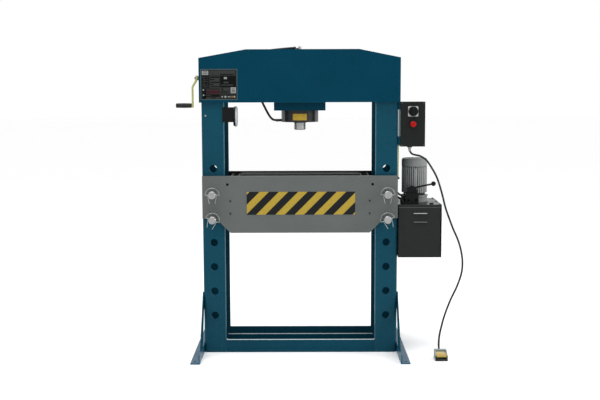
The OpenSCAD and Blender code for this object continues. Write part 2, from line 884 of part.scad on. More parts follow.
module crank() {
    color([0.72, 0.68, 0.42]) {
        bar_x(crank_shaft_d, crank_hub_x - crank_arm_t, -web_in_x + crank_shaft_in, crank_y, crank_z);
        upright_plate(crank_y - crank_arm_w / 2, crank_y + crank_arm_w / 2)
            polygon([
                [crank_hub_x, crank_z + 16], [crank_hub_x, crank_z - 16],
                [crank_arm_x + crank_arm_t / 2, crank_bend_z], [crank_arm_x + crank_arm_t / 2, grip_z - 14],
                [crank_arm_x - crank_arm_t / 2, grip_z - 14], [crank_arm_x - crank_arm_t / 2, crank_bend_z + 4],
                [crank_hub_x - crank_arm_t, crank_z - 8], [crank_hub_x - crank_arm_t, crank_z + 16]
            ]);
        bar_x(grip_pin_d, crank_arm_x - crank_arm_t / 2 - grip_l - grip_end_gap, crank_arm_x, crank_y, grip_z);
    }
}

grip_x1 = crank_arm_x - crank_arm_t / 2 - grip_end_gap / 2;

module crank_grip() {
    color([0.2, 0.21, 0.2])
        translate([grip_x1 - grip_l, crank_y, grip_z])
            rotate([0, 90, 0])
                rotate_extrude()
                    polygon([
                        [grip_pin_d / 2 + run_clear, 0], [grip_d / 2 - 4, 0], [grip_d / 2, 4],
                        [grip_d / 2 + 1, grip_l / 2], [grip_d / 2, grip_l - 4],
                        [grip_d / 2 - 4, grip_l], [grip_pin_d / 2 + run_clear, grip_l]
                    ]);
}

drum_front_y = rope_right_y - 14;
drum_back_y = rope_left_y + 14;
drum_rim_t = 4;
drum_rim_r = drum_r + 14;
rope_turn_ys = [(rope_left_y + rope_right_y) / 2];

module rope_drum() {
    color([0.55, 0.56, 0.55]) {
        bar_y(2 * drum_r, -pin_x, drum_front_y, drum_back_y, drum_z);
        bar_y(2 * drum_rim_r, -pin_x, drum_front_y - drum_rim_t, drum_front_y, drum_z);
        bar_y(2 * drum_rim_r, -pin_x, drum_back_y - drum_rim_t, drum_back_y, drum_z);
        bar_y(drum_shaft_d, -pin_x, drum_back_y, gearbox_front_y + drum_shaft_in, drum_z);
        for (y = rope_turn_ys)
            translate([-pin_x, y, drum_z])
                rotate([90, 0, 0])
                    rotate_extrude()
                        translate([drum_r + rope_d / 2 - 0.5, 0])
                            circle(d = rope_d);
    }
}

pulley_rim = 6;

module rope_pulley() {
    color([0.55, 0.56, 0.55])
        translate([pulley_x, rope_right_y, drum_z])
            rotate([90, 0, 0])
                rotate_extrude()
                    polygon([
                        [pulley_axle_d / 2 + run_clear, -pulley_w / 2], [drum_r + pulley_rim, -pulley_w / 2],
                        [drum_r + pulley_rim, -pulley_w / 2 + 1], [drum_r, -rope_d / 2 - 0.4],
                        [drum_r, rope_d / 2 + 0.4], [drum_r + pulley_rim, pulley_w / 2 - 1],
                        [drum_r + pulley_rim, pulley_w / 2], [pulley_axle_d / 2 + run_clear, pulley_w / 2]
                    ]);
}

module lift_ropes() {
    color([0.6, 0.6, 0.58]) {
        translate([-rope_x, rope_left_y, lug_top_z])
            cylinder(d = rope_d, h = drum_z - lug_top_z);
        translate([rope_x, rope_right_y, lug_top_z])
            cylinder(d = rope_d, h = drum_z - lug_top_z);
    }
}

module cross_rope() {
    color([0.6, 0.6, 0.58]) {
        bar_x(rope_d, -pin_x, pulley_x, rope_right_y, drum_z + rope_line_r);
        translate([pulley_x, rope_right_y, drum_z])
            rotate([90, 0, 0])
                rotate_extrude(angle = 90)
                    translate([rope_line_r, 0])
                        circle(d = rope_d);
    }
}

// Pressure gauge

gauge_box_h = 97;
gauge_box_low = 36;
gauge_box_d = 90;
gauge_tab_x = 10;
gauge_tab_t = 6;
dial_t = 2;
spindle_d = 4;
needle_gap = 1.2;
needle_t = 1.2;
glass_t = 2.5;
glass_inset = 2;
dial_x = gauge_bezel_x + dial_t;
needle_x = dial_x + needle_gap;
glass_x = gauge_bezel_x + bezel_t - glass_inset - glass_t;
glass_d = bezel_d - 2 * gauge_ring_w + 6;
dial_d = glass_d - 2 * seat_clear;

// The gauge's mounting block and back flange, with the dial and its spindle in front
module gauge_case() {
    color([0.06, 0.06, 0.065]) {
        span([-in_x, -face_y - gauge_tab_t, gauge_z - gauge_box_low],
             [gauge_back_x, -face_y + gauge_box_d, gauge_z - gauge_box_low + gauge_box_h]);
        span([-in_x - gauge_tab_x, -face_y - gauge_tab_t, gauge_z - gauge_box_low],
             [-in_x, -face_y, gauge_z - gauge_box_low + gauge_box_h]);
        bar_x(gauge_flange_d, gauge_back_x, gauge_bezel_x, gauge_y, gauge_z);
    }
    color([0.92, 0.92, 0.9])
        bar_x(dial_d, gauge_bezel_x, dial_x, gauge_y, gauge_z);
    color([0.3, 0.3, 0.3])
        bar_x(spindle_d, gauge_bezel_x, needle_x + needle_t + 1, gauge_y, gauge_z);
}

module gauge_bezel() {
    color([0.8, 0.81, 0.82])
        translate([gauge_bezel_x, gauge_y, gauge_z])
            rotate([0, 90, 0])
                rotate_extrude()
                    polygon([
                        [bezel_d / 2 - gauge_ring_w + 3, 0], [bezel_d / 2 - 1, 0], [bezel_d / 2, 2],
                        [bezel_d / 2, bezel_t - 4], [bezel_d / 2 - 4, bezel_t],
                        [bezel_d / 2 - gauge_ring_w, bezel_t],
                        [bezel_d / 2 - gauge_ring_w, bezel_t - glass_inset],
                        [bezel_d / 2 - gauge_ring_w + 3, bezel_t - glass_inset]
                    ]);
}

module gauge_needle() {
    color([0.05, 0.05, 0.05])
        translate([needle_x, gauge_y, gauge_z])
            rotate([0, 90, 0])
                difference() {
                    linear_extrude(height = needle_t)
                        rotate(-45) {
                            circle(d = spindle_d + 6);
                            polygon([[-14, -2.5], [-14, 2.5], [0, 2], [42, 0.6], [42, -0.6], [0, -2]]);
                        }
                    translate([0, 0, -over])
                        cylinder(d = spindle_d + 2 * run_clear, h = needle_t + 2 * over);
                }
}

module gauge_glass() {
    color([0.8, 0.9, 0.95, 0.35])
        bar_x(dial_d, glass_x, glass_x + glass_t, gauge_y, gauge_z);
}

// Control box

bracket_t = 2.5;
bracket_front_y = box_front_y + 14;
bracket_back_y = box_front_y + 104;
bracket_low_h = 55;
bracket_high_up = 244;
bracket_high_z = box_z + bracket_high_up;
bracket_top_gap = 1;
bracket_high_h = header_z - bracket_top_gap - bracket_high_z;

// The blue brackets that carry the control box and the power unit on the right upright
module side_brackets() {
    color(frame_blue) {
        span([box_x - bracket_t, bracket_front_y, box_z + bracket_low_up], [box_x, bracket_back_y, bracket_high_z + bracket_high_h]);
        span([out_x, bracket_front_y, box_z + bracket_low_up], [box_x, bracket_back_y, box_z + bracket_low_up + bracket_low_h]);
        span([out_x, bracket_front_y, bracket_high_z], [box_x, bracket_back_y, bracket_high_z + bracket_high_h]);
        span([out_x, -150, cab_z + 12], [cab_x, 150, cab_top_z - 8]);
    }
}

module control_box() {
    color([0.11, 0.12, 0.12])
        difference() {
            span([box_x, box_front_y, box_z], [box_x + box_w, box_back_y, box_z + box_h]);
            span([box_x + box_t, box_front_y - over, box_z + box_t],
                 [box_x + box_w - box_t, box_back_y - box_t, box_z + box_h - box_t]);
            translate([cord_exit[0], cord_exit[1], box_z - over])
                cylinder(d = gland_thread_d + 2 * seat_clear, h = box_t + 2 * over);
        }
}

switch_plate_t = 6;
knob_spigot_d = 12;
knob_spigot_l = 10;
button_stem_d = 20;
button_collar_d = button_d + 5;
button_collar_t = 5;
button_head_t = 16;
button_stem_l = 26;

module control_cover() {
    color([0.13, 0.14, 0.14])
        difference() {
            union() {
                span([box_x, cover_y, box_z], [box_x + box_w, box_front_y, box_z + box_h]);
                span([box_mid_x - switch_plate_w / 2, cover_y - switch_plate_t, switch_z - switch_plate_w / 2],
                     [box_mid_x + switch_plate_w / 2, cover_y, switch_z + switch_plate_w / 2]);
                bar_y(button_collar_d, box_mid_x, cover_y - button_collar_t, cover_y, button_z);
            }
            bar_y(knob_spigot_d + 2 * run_clear, box_mid_x, cover_y - switch_plate_t - over,
                  box_front_y + over, switch_z);
            bar_y(button_stem_d + 2 * run_clear, box_mid_x, cover_y - button_collar_t - over,
                  box_front_y + over, button_z);
        }
}

knob_clear = 0.4;
knob_front_y = cover_y - switch_plate_t - knob_clear - knob_t;
knob_bar_w = 16;

module switch_knob() {
    color([0.05, 0.05, 0.055]) {
        bar_y(knob_d, box_mid_x, knob_front_y + knob_t / 2, knob_front_y + knob_t, switch_z);
        span([box_mid_x - knob_bar_w / 2, knob_front_y, switch_z - knob_d / 2 + 2],
             [box_mid_x + knob_bar_w / 2, knob_front_y + knob_t / 2, switch_z + knob_d / 2 - 2]);
        bar_y(knob_spigot_d, box_mid_x, knob_front_y + knob_t, knob_front_y + knob_t + knob_spigot_l, switch_z);
    }
}

button_back_y = cover_y - button_collar_t - button_travel - 0.5;

module stop_button() {
    color([0.75, 0.06, 0.05])
        translate([box_mid_x, button_back_y, button_z])
            rotate([90, 0, 0])
                rotate_extrude()
                    polygon([
                        [0, -button_stem_l], [button_stem_d / 2, -button_stem_l], [button_stem_d / 2, 0],
                        [button_d / 2, 0], [button_d / 2, button_head_t - 6],
                        [button_d / 2 - 6, button_head_t - 1], [button_d / 4, button_head_t],
                        [0, button_head_t]
                    ]);
}

gland_thread_d = 16;
gland_nut_d = 30;
gland_tip_d = cord_d + 6;

module cord_gland() {
    color([0.08, 0.08, 0.08])
        translate([cord_exit[0], cord_exit[1], cord_exit[2]])
            rotate_extrude()
                polygon([
                    [0, 0], [gland_tip_d / 2, 0], [gland_nut_d / 2, 8],
                    [gland_nut_d / 2, box_z - cord_exit[2]], [gland_thread_d / 2, box_z - cord_exit[2]],
                    [gland_thread_d / 2, box_z - cord_exit[2] + 12], [0, box_z - cord_exit[2] + 12]
                ]);
}

module earth_wire() {
    color([0.75, 0.75, 0.15])
        swept_tube(earth_route, earth_d, 8, 3);
    color([0.7, 0.7, 0.68])
        bar_x(earth_lug_d, out_x, out_x + earth_lug_l, earth_y, earth_lug_z);
}

// Power unit

// The fixed half of one door hinge, with its pin
module hinge_half(z) {
    for (low = [z, z + hinge_h - knuckle_h]) {
        span([cab_end_x - cab_t, hinge_y, low], [cab_end_x, cab_y + over, low + knuckle_h]);
        translate([hinge_x, hinge_y, low])
            cylinder(d = knuckle_d, h = knuckle_h);
    }
    translate([hinge_x, hinge_y, z])
        cylinder(d = hinge_pin_d, h = hinge_h);
}

module cabinet() {
    color([0.14, 0.15, 0.15]) {
        difference() {
            span([cab_x, cab_y, cab_z], [cab_end_x, cab_back_y, cab_top_z]);
            span([cab_x + cab_t, cab_y - over, cab_z + cab_t],
                 [cab_end_x - cab_t, cab_back_y - cab_t, cab_top_z + over]);
        }
        for (z = hinge_zs)
            hinge_half(z);
    }
}

door_margin = 2;
knuckle_gap = 0.5;
door_end_x = cab_end_x - knuckle_d - knuckle_gap;
louvre_w = 92;
louvre_zs = [cab_top_z - 34, cab_top_z - 92];
louvre_out = 9;
louvre_h = 13;
louvre_x = cab_x + 99;
lock_x = cab_x + 31;
lock_z = cab_z + 204;
knuckle_play = 0.5;

// One pressed hood over its slot
module louvre(z) {
    side_plate(louvre_x, louvre_x + louvre_w)
        polygon([
            [door_y + 0.5, z], [door_y - louvre_out, z - louvre_h],
            [door_y - louvre_out, z - louvre_h - 2], [door_y - louvre_out + 2, z - louvre_h - 2],
            [door_y + 0.5, z - 3]
        ]);
}

module cabinet_door() {
    color([0.15, 0.16, 0.16])
        difference() {
            union() {
                span([cab_x + door_margin, door_y, cab_z + door_margin],
                     [door_end_x, door_y + cab_t, cab_top_z - door_margin]);
                for (z = louvre_zs)
                    louvre(z);
                bar_y(22, lock_x, door_y - 4, door_y, lock_z);
                for (z = hinge_zs) {
                    translate([hinge_x, hinge_y, z + knuckle_h + knuckle_play])
                        cylinder(d = knuckle_d, h = hinge_h - 2 * knuckle_h - 2 * knuckle_play);
                    span([door_end_x - over, door_y, z + knuckle_h + knuckle_play],
                         [hinge_x, door_y + cab_t, z + hinge_h - knuckle_h - knuckle_play]);
                }
            }
            for (z = louvre_zs)
                span([louvre_x + 2, door_y - over, z - louvre_h - 2],
                     [louvre_x + louvre_w - 2, door_y + cab_t + over, z - 5]);
            for (z = hinge_zs)
                translate([hinge_x, hinge_y, z])
                    cylinder(d = hinge_pin_d + 2 * run_clear, h = hinge_h);
            span([lock_x - 1.5, door_y - 4 - over, lock_z - 7], [lock_x + 1.5, door_y - 1, lock_z + 7]);
        }
}

tank_side = 12;
tank_front = 45;
tank_back = 15;

module oil_tank() {
    color([0.3, 0.31, 0.32])
        difference() {
            span([cab_x + tank_side, cab_y + tank_front, cab_z + cab_t],
                 [cab_end_x - tank_side, cab_back_y - tank_back, cab_top_z]);
            span([cab_x + tank_side + cab_t, cab_y + tank_front + cab_t, cab_z + 2 * cab_t],
                 [cab_end_x - tank_side - cab_t, cab_back_y - tank_back - cab_t, cab_top_z + over]);
        }
}

lid_end_gap = 0.5;
shaft_hole_d = 60;
filler_x = cab_x + 28;
filler_y = -160;
filler_d = 20;
plug_x = cab_x + 225;
plug_y = -150;

module tank_lid() {
    color([0.2, 0.21, 0.21])
        difference() {
            span([cab_x, door_y, cab_top_z], [cab_end_x - lid_end_gap, cab_back_y, lid_top_z]);
            translate([motor_x, motor_y, cab_top_z - over])
                cylinder(d = shaft_hole_d, h = lid_t + 2 * over);
            translate([filler_x, filler_y, cab_top_z - over])
                cylinder(d = filler_d + 2 * seat_clear, h = lid_t + 2 * over);
        }
}

module tank_caps() {
    color([0.05, 0.05, 0.05]) {
        translate([filler_x, filler_y, cab_top_z])
            cylinder(d = filler_d, h = lid_t);
        translate([filler_x, filler_y, lid_top_z])
            rotate_extrude()
                polygon([[0, 0], [13, 0], [13, 24], [10, 30], [0, 33]]);
        translate([plug_x, plug_y, lid_top_z])
            rotate_extrude()
                polygon([[0, 0], [14, 0], [14, 4], [11, 7], [0, 7]]);
    }
}

pump_d = 116;
pump_h = 150;
pump_flange_t = 14;
suction_d = 34;
suction_h = 120;
pump_bore_in = 40;

module pump() {
    color([0.5, 0.5, 0.5])
        translate([motor_x, motor_y, cab_top_z - pump_h])
            difference() {
                union() {
                    cylinder(d = pump_d - 16, h = pump_h);
                    translate([0, 0, pump_h - pump_flange_t])
                        cylinder(d = pump_d, h = pump_flange_t);
                    translate([-24, 0, -suction_h])
                        cylinder(d = suction_d, h = suction_h);
                }
                translate([0, 0, pump_h - pump_bore_in])
                    cylinder(r = shaft_bore_r, h = pump_bore_in + over);
            }
}

bell_wall = 26;
bell_rim_t = 10;

module bell_housing() {
    color([0.45, 0.46, 0.46])
        translate([motor_x, motor_y, lid_top_z])
            rotate_extrude()
                polygon([
                    [bell_low_r - bell_wall, 0], [bell_low_r, 0], [bell_low_r, bell_rim_t],
                    [bell_body_r, bell_rim_t + 4], [bell_body_r, bell_h - bell_rim_t - 3],
                    [bell_top_r, bell_h - bell_rim_t], [bell_top_r, bell_h], [bell_top_r - bell_wall, bell_h]
                ]);
}

shield_t = 14;
fin_end_gap = 4;
shield_r = motor_core_r - 4;

module motor_housing() {
    color([0.48, 0.5, 0.5])
        translate([motor_x, motor_y, motor_z])
            difference() {
                union() {
                    rotate_extrude()
                        polygon([
                            [0, 0], [shield_r, 0], [motor_core_r, shield_t],
                            [motor_core_r, motor_h], [0, motor_h]
                        ]);
                    translate([0, 0, shield_t + fin_end_gap])
                        linear_extrude(height = motor_h - shield_t - 2 * fin_end_gap)
                            for (k = [0 : fin_count - 1])
                                rotate(360 / fin_count * (k + 0.5))
                                    translate([motor_core_r - 4, -fin_t / 2])
                                        square([fin_depth + 4, fin_t]);
                }
                translate([0, 0, shield_t])
                    cylinder(r = rotor_r + rotor_gap, h = motor_h - 2 * shield_t);
                translate([0, 0, -over])
                    cylinder(r = shaft_bore_r, h = motor_h + 2 * over);
            }
}

cowl_t = 2.5;
cowl_r = motor_d / 2 + 1;
cowl_lap = 8;
cowl_round = 14;
grille_r = 58;
grille_slots = 10;
grille_hub_r = 16;
grille_slot_w = 9;

module motor_cowl() {
    color([0.5, 0.52, 0.52])
        translate([motor_x, motor_y, motor_top_z])
            difference() {
                rotate_extrude()
                    polygon([
                        [motor_core_r + seat_clear, 0], [cowl_r, 0], [cowl_r, cowl_h - cowl_round],
                        [cowl_r - 4, cowl_h - 4], [cowl_r - cowl_round, cowl_h], [0, cowl_h],
                        [0, cowl_h - cowl_t], [cowl_r - cowl_round, cowl_h - cowl_t],
                        [cowl_r - cowl_t, cowl_h - cowl_round], [cowl_r - cowl_t, cowl_t],
                        [motor_core_r + seat_clear - 6, cowl_t], [motor_core_r + seat_clear - 6, 0]
                    ]);
                for (k = [0 : grille_slots - 1])
                    rotate(360 / grille_slots * k)
                        translate([grille_hub_r, -grille_slot_w / 2, cowl_h - cowl_t - over])
                            cube([grille_r - grille_hub_r, grille_slot_w, cowl_t + 2 * over]);
            }
}

fan_r = 68;
fan_blades = 7;
fan_low = 8;
fan_h = 26;
rotor_end_gap = 3;

module motor_rotor() {
    color([0.3, 0.3, 0.32])
        translate([motor_x, motor_y, motor_z]) {
            translate([0, 0, -bell_h - lid_t - pump_bore_in + 4])
                cylinder(d = shaft_d, h = bell_h + lid_t + pump_bore_in + motor_h + fan_low + fan_h);
            translate([0, 0, shield_t + rotor_end_gap])
                cylinder(r = rotor_r, h = motor_h - 2 * shield_t - 2 * rotor_end_gap);
            translate([0, 0, motor_h + fan_low])
                cylinder(r = fan_r, h = 4);
            for (k = [0 : fan_blades - 1])
                rotate(360 / fan_blades * k)
                    translate([shaft_d / 2 - 2, -1.5, motor_h + fan_low + 3])
                        cube([fan_r - shaft_d / 2, 3, fan_h - 6]);
        }
}

port_d = 17;
port_in = 22;
slot_low_z = lever_z - 17;

module valve_block() {
    color([0.06, 0.065, 0.07]) {
        difference() {
            union() {
                span([valve_x - valve_w / 2, valve_y - valve_d / 2, lid_top_z],
                     [valve_x + valve_w / 2, valve_y + valve_d / 2, valve_top_z]);
                upright_plate(valve_y - neck_d / 2, valve_y + neck_d / 2)
                    polygon([
                        [valve_x - neck_w / 2, valve_top_z - over], [valve_x + neck_w / 2, valve_top_z - over],
                        [valve_x + neck_w / 2, valve_top_z + neck_h - 12],
                        [valve_x + neck_w / 2 - 10, valve_top_z + neck_h],
                        [valve_x - neck_w / 4, valve_top_z + neck_h],
                        [valve_x - neck_w / 2, valve_top_z + neck_h / 2]
                    ]);
            }
            span([lever_x - lever_hub_r - 4, valve_y - slot_w / 2, slot_low_z],
                 [valve_x + neck_w / 2 + over, valve_y + slot_w / 2, valve_top_z + neck_h + over]);
            for (s = [-1, 1])
                bar_y(port_d, valve_x + s * 25.5, valve_y - valve_d / 2 - over,
                      valve_y - valve_d / 2 + port_in, lid_top_z + 26);
        }
        bar_y(lever_pin_d, lever_x, valve_y - neck_d / 2, valve_y + neck_d / 2, lever_z);
    }
}

lever_d = 12;
hub_gap = 1;

module valve_lever() {
    color([0.05, 0.05, 0.05])
        difference() {
            union() {
                bar_y(2 * lever_hub_r, lever_x, valve_y - slot_w / 2 + hub_gap, valve_y + slot_w / 2 - hub_gap, lever_z);
                translate([lever_x, valve_y, lever_z])
                    rotate([0, 90 - lever_rise, 0]) {
                        cylinder(d = lever_d, h = lever_l);
                        translate([0, 0, lever_l])
                            sphere(d = ball_d);
                    }
            }
            bar_y(lever_pin_d + 2 * run_clear, lever_x, valve_y - slot_w, valve_y + slot_w, lever_z);
        }
}

// Bed

module bed_outline() {
    difference() {
        polygon([
            [-bed_x, bed_top_z], [-bed_x, lower_pin_z], [-belly_x - bed_drop, lower_pin_z],
            [-belly_x, bed_low_z], [belly_x, bed_low_z], [belly_x + bed_drop, lower_pin_z],
            [bed_x, lower_pin_z], [bed_x, bed_top_z]
        ]);
        for (s = [-1, 1]) {
            translate([s * pin_x, upper_pin_z])
                circle(d = hole_d);
            translate([s * pin_x, lower_pin_z])
                circle(d = hole_d);
            translate([s * (spacer_x + 11), bed_top_z - 56])
                circle(d = lift_hole_d);
        }
    }
}

bed_grey = [0.41, 0.415, 0.41];

module bed_front_plate() {
    color(bed_grey)
        upright_plate(-bed_out_y, -bed_in_y)
            bed_outline();
}

module bed_back_plate() {
    color(bed_grey)
        upright_plate(bed_in_y, bed_out_y)
            bed_outline();
}

module bed_ledges() {
    color(bed_grey)
        for (s = [-1, 1])
            scale([1, s, 1])
                span([-spacer_in_x, bed_in_y - ledge_w, ledge_top_z - ledge_t], [spacer_in_x, bed_in_y, ledge_top_z]);
}

spacer_low_z = bed_low_z + 15;

// A hollow spacer with the lug that its lifting rope is fixed to
module spacer(lug_y) {
    difference() {
        span([spacer_in_x, -bed_in_y, spacer_low_z], [spacer_x, bed_in_y, ledge_top_z]);
        span([spacer_in_x + spacer_wall, -bed_in_y + spacer_wall, spacer_low_z - over],
             [spacer_x - spacer_wall, bed_in_y - spacer_wall, ledge_top_z + over]);
    }
    span([spacer_x - 2, lug_y - lug_t / 2, bed_top_z - lug_low_drop], [lug_reach, lug_y + lug_t / 2, lug_top_z]);
}

module bed_spacers() {
    color(bed_grey) {
        spacer(rope_right_y);
        mirror([1, 0, 0])
            spacer(rope_left_y);
    }
}

strip_z = bed_top_z - 105 - strip_h / 2;
strip_left_x = strip_off - strip_w / 2;
stripe_gap = 63;
stripe_step = stripe_w + stripe_gap;
stripe_lead = -4;
stripe_slant = 0.995 * strip_h;
stripe_count = ceil((strip_w + stripe_slant) / stripe_step);

// A plain strip with slanted stripes standing just proud of it
module warning_strip() {
    color([0.75, 0.65, 0.27])
        span([strip_left_x, -bed_out_y - strip_t, strip_z - strip_h / 2],
             [strip_left_x + strip_w, -bed_out_y, strip_z + strip_h / 2]);
    color([0.12, 0.125, 0.135])
        upright_plate(-bed_out_y - 2 * strip_t, -bed_out_y - strip_t)
            intersection() {
                translate([strip_left_x, strip_z - strip_h / 2])
                    square([strip_w, strip_h]);
                for (k = [-2 : stripe_count])
                    translate([strip_left_x + stripe_lead + k * stripe_step, strip_z - strip_h / 2])
                        polygon([
                            [0, 0], [stripe_w, 0], [stripe_w + stripe_slant, strip_h], [stripe_slant, strip_h]
                        ]);
            }
}

// Bed pins

clip_leg_top_x = pin_d / 2 + 5;
clip_leg_low_x = 18;
pin_chamfer = 3;

// The wire clip through a pin's front end, around its own centre
module pin_clip() {
    leg = [clip_leg_low_x - clip_leg_top_x, 0, -clip_leg];
    bar_x(clip_wire_d, -clip_bail_r, clip_bail_r, 0, 0);
    rotate([90, 0, 0])
        rotate_extrude(angle = 180)
            translate([clip_bail_r, 0])
                circle(d = clip_wire_d);
    both_sides()
        translate([clip_leg_top_x, 0, 0])
            rotate([0, 180 - atan2(leg[0], clip_leg), 0])
                cylinder(d = clip_wire_d, h = norm(leg));
}

// How far the clips of the lower pins hang to one side, in degrees
lower_clip_turn = 20;

// A bed pin with its clip, from the front end to a given back end
module bed_pin(x, z, end_y, turn = 0) {
    length = end_y - pin_front_y;
    color([0.68, 0.69, 0.67])
        difference() {
            translate([x, pin_front_y, z])
                rotate([-90, 0, 0])
                    rotate_extrude()
                        polygon([
                            [0, 0], [pin_d / 2 - pin_chamfer, 0], [pin_d / 2, pin_chamfer],
                            [pin_d / 2, length - pin_chamfer], [pin_d / 2 - pin_chamfer, length], [0, length]
                        ]);
            translate([x, clip_y, z])
                rotate([0, turn, 0])
                    bar_x(clip_wire_d + 2 * seat_clear, -pin_d, pin_d, 0, 0);
        }
    color([0.78, 0.78, 0.76])
        translate([x, clip_y, z])
            rotate([0, turn, 0])
                pin_clip();
}

short_pin_end_y = -bed_in_y - 1;
long_pin_end_y = bed_out_y + pin_tail;

module upper_left_pin() {
    bed_pin(-pin_x, upper_pin_z, short_pin_end_y);
}

module upper_right_pin() {
    bed_pin(pin_x, upper_pin_z, short_pin_end_y);
}

module lower_left_pin() {
    bed_pin(-pin_x, lower_pin_z, long_pin_end_y, lower_clip_turn);
}

module lower_right_pin() {
    bed_pin(pin_x, lower_pin_z, long_pin_end_y, -lower_clip_turn);
}

// Foot switch

pedal_front_y = pedal_back_y - pedal_l;
pedal_roof_l = 36;
pedal_roof_t = 3;
treadle_pin_y = pedal_back_y - treadle_pin_back - pedal_t;

module pedal_base() {
    color([0.6, 0.63, 0.6]) {
        difference() {
            side_plate(pedal_x - pedal_w / 2, pedal_x + pedal_w / 2)
                polygon([
                    [pedal_back_y, 0], [pedal_back_y, pedal_h], [pedal_back_y - pedal_roof_l, pedal_h],
                    [pedal_front_y, pedal_toe_h], [pedal_front_y, 0]
                ]);
            span([pedal_x - pedal_w / 2 + pedal_t, pedal_front_y - over, pedal_t],
                 [pedal_x + pedal_w / 2 - pedal_t, pedal_back_y - pedal_t, pedal_h - pedal_roof_t]);
            span([pedal_x - pedal_w / 2 + pedal_t, pedal_front_y - over, pedal_t],
                 [pedal_x + pedal_w / 2 - pedal_t, pedal_back_y - pedal_roof_l, pedal_h + over]);
        }
        bar_x(treadle_pin_d, pedal_x - pedal_w / 2, pedal_x + pedal_w / 2, treadle_pin_y, treadle_pin_z);
    }
}

treadle_w = pedal_w - 2 * pedal_t - 2 * treadle_gap;
treadle_toe_y = pedal_front_y - 3;
treadle_toe_z = pedal_toe_h;

module pedal_treadle() {
    color([0.76, 0.67, 0.39])
        difference() {
            union() {
                side_plate(pedal_x - treadle_w / 2, pedal_x + treadle_w / 2)
                    polygon([
                        [treadle_pin_y + 4, treadle_pin_z + 6], [treadle_pin_y + 4, treadle_pin_z - 3],
                        [treadle_toe_y, treadle_toe_z - treadle_t], [treadle_toe_y, treadle_toe_z - 1],
                        [treadle_toe_y + 2, treadle_toe_z]
                    ]);
                bar_x(14, pedal_x - treadle_w / 2, pedal_x + treadle_w / 2, treadle_pin_y, treadle_pin_z);
            }
            bar_x(treadle_pin_d + 2 * run_clear, pedal_x - pedal_w, pedal_x + pedal_w, treadle_pin_y, treadle_pin_z);
        }
}

module pedal_cord() {
    color([0.1, 0.11, 0.11])
        swept_tube(cord_route, cord_d, 8, 3);
}

left_upright();
right_upright();
header_front_plate();
header_back_plate();
header_end_plates();
cylinder_mount();
base_front_rail();
base_back_rail();
feet();
foot_braces();
cylinder_barrel();
cylinder_label();
cylinder_ends();
hose_fittings();
top_hose();
lower_hose();
type_plate();
winch_gearbox();
lift_ropes();
cross_rope();
gauge_case();
gauge_bezel();
gauge_glass();
gauge_needle();
side_brackets();
control_box();
control_cover();
cord_gland();
cabinet();
cabinet_door();
oil_tank();
tank_lid();
tank_caps();
pump();
bell_housing();
motor_housing();
motor_cowl();
motor_rotor();
valve_block();
valve_lever();
earth_wire();
bed_front_plate();
bed_back_plate();
bed_ledges();
bed_spacers();
warning_strip();
upper_left_pin();
upper_right_pin();
lower_left_pin();
lower_right_pin();
ram();
crank();
crank_grip();
rope_drum();
rope_pulley();
switch_knob();
stop_button();
pedal_base();
pedal_treadle();
pedal_cord();
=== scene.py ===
"""Workshop press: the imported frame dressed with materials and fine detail, on a pale studio floor."""
import math

import bmesh
import bpy
from mathutils import Matrix, Vector


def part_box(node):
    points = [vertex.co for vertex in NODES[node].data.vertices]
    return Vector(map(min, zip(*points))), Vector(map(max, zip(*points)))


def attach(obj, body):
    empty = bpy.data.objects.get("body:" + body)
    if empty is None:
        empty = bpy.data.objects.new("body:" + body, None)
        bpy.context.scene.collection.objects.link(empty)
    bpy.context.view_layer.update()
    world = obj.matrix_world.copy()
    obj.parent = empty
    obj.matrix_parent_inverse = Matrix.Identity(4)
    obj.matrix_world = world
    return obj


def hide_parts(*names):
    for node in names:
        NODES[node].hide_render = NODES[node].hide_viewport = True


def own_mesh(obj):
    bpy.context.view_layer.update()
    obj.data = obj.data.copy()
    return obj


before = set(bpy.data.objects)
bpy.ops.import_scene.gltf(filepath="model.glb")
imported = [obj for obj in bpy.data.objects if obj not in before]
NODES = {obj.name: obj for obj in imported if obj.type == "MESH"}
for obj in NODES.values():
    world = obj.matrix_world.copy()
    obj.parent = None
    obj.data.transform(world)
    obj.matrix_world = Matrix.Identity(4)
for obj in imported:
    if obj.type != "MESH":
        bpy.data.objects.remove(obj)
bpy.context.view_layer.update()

scene = bpy.context.scene
MM = 0.001


# Camera, floor and light

LENS, SENSOR_W, VIEW_DEPTH = 58.8, 36.0, 200.0
CAMERA_PLACE = (0.027, -6.672, 1.752)
CAMERA_PAN, CAMERA_DIP, CAMERA_ROLL = 0.24, 6.31, -0.18
KEY_LAMP = {"place": (-0.6, -0.5, 4.6), "target": (0, 0, 0.9), "size": (4.0, 3.0), "energy": 150}
SIDE_LAMP = {"place": (4.2, -1.4, 2.4), "target": (0.6, 0, 1.1), "size": (2.0, 2.0), "energy": 60}
FLOOR_R, FLOOR_DROP = 60, 0.0006


def make_camera():
    """The camera at the photograph's angle: slightly above the middle, looking a little down."""
    data = bpy.data.cameras.new("camera")
    data.sensor_fit = "HORIZONTAL"
    data.sensor_width = SENSOR_W
    data.lens = LENS
    data.clip_end = VIEW_DEPTH
    cam = bpy.data.objects.new("camera", data)
    scene.collection.objects.link(cam)
    turn = (Matrix.Rotation(math.radians(CAMERA_PAN), 4, "Z")
            @ Matrix.Rotation(math.radians(90 - CAMERA_DIP), 4, "X")
            @ Matrix.Rotation(math.radians(CAMERA_ROLL), 4, "Z"))
    cam.matrix_world = Matrix.Translation(CAMERA_PLACE) @ turn
    scene.camera = cam


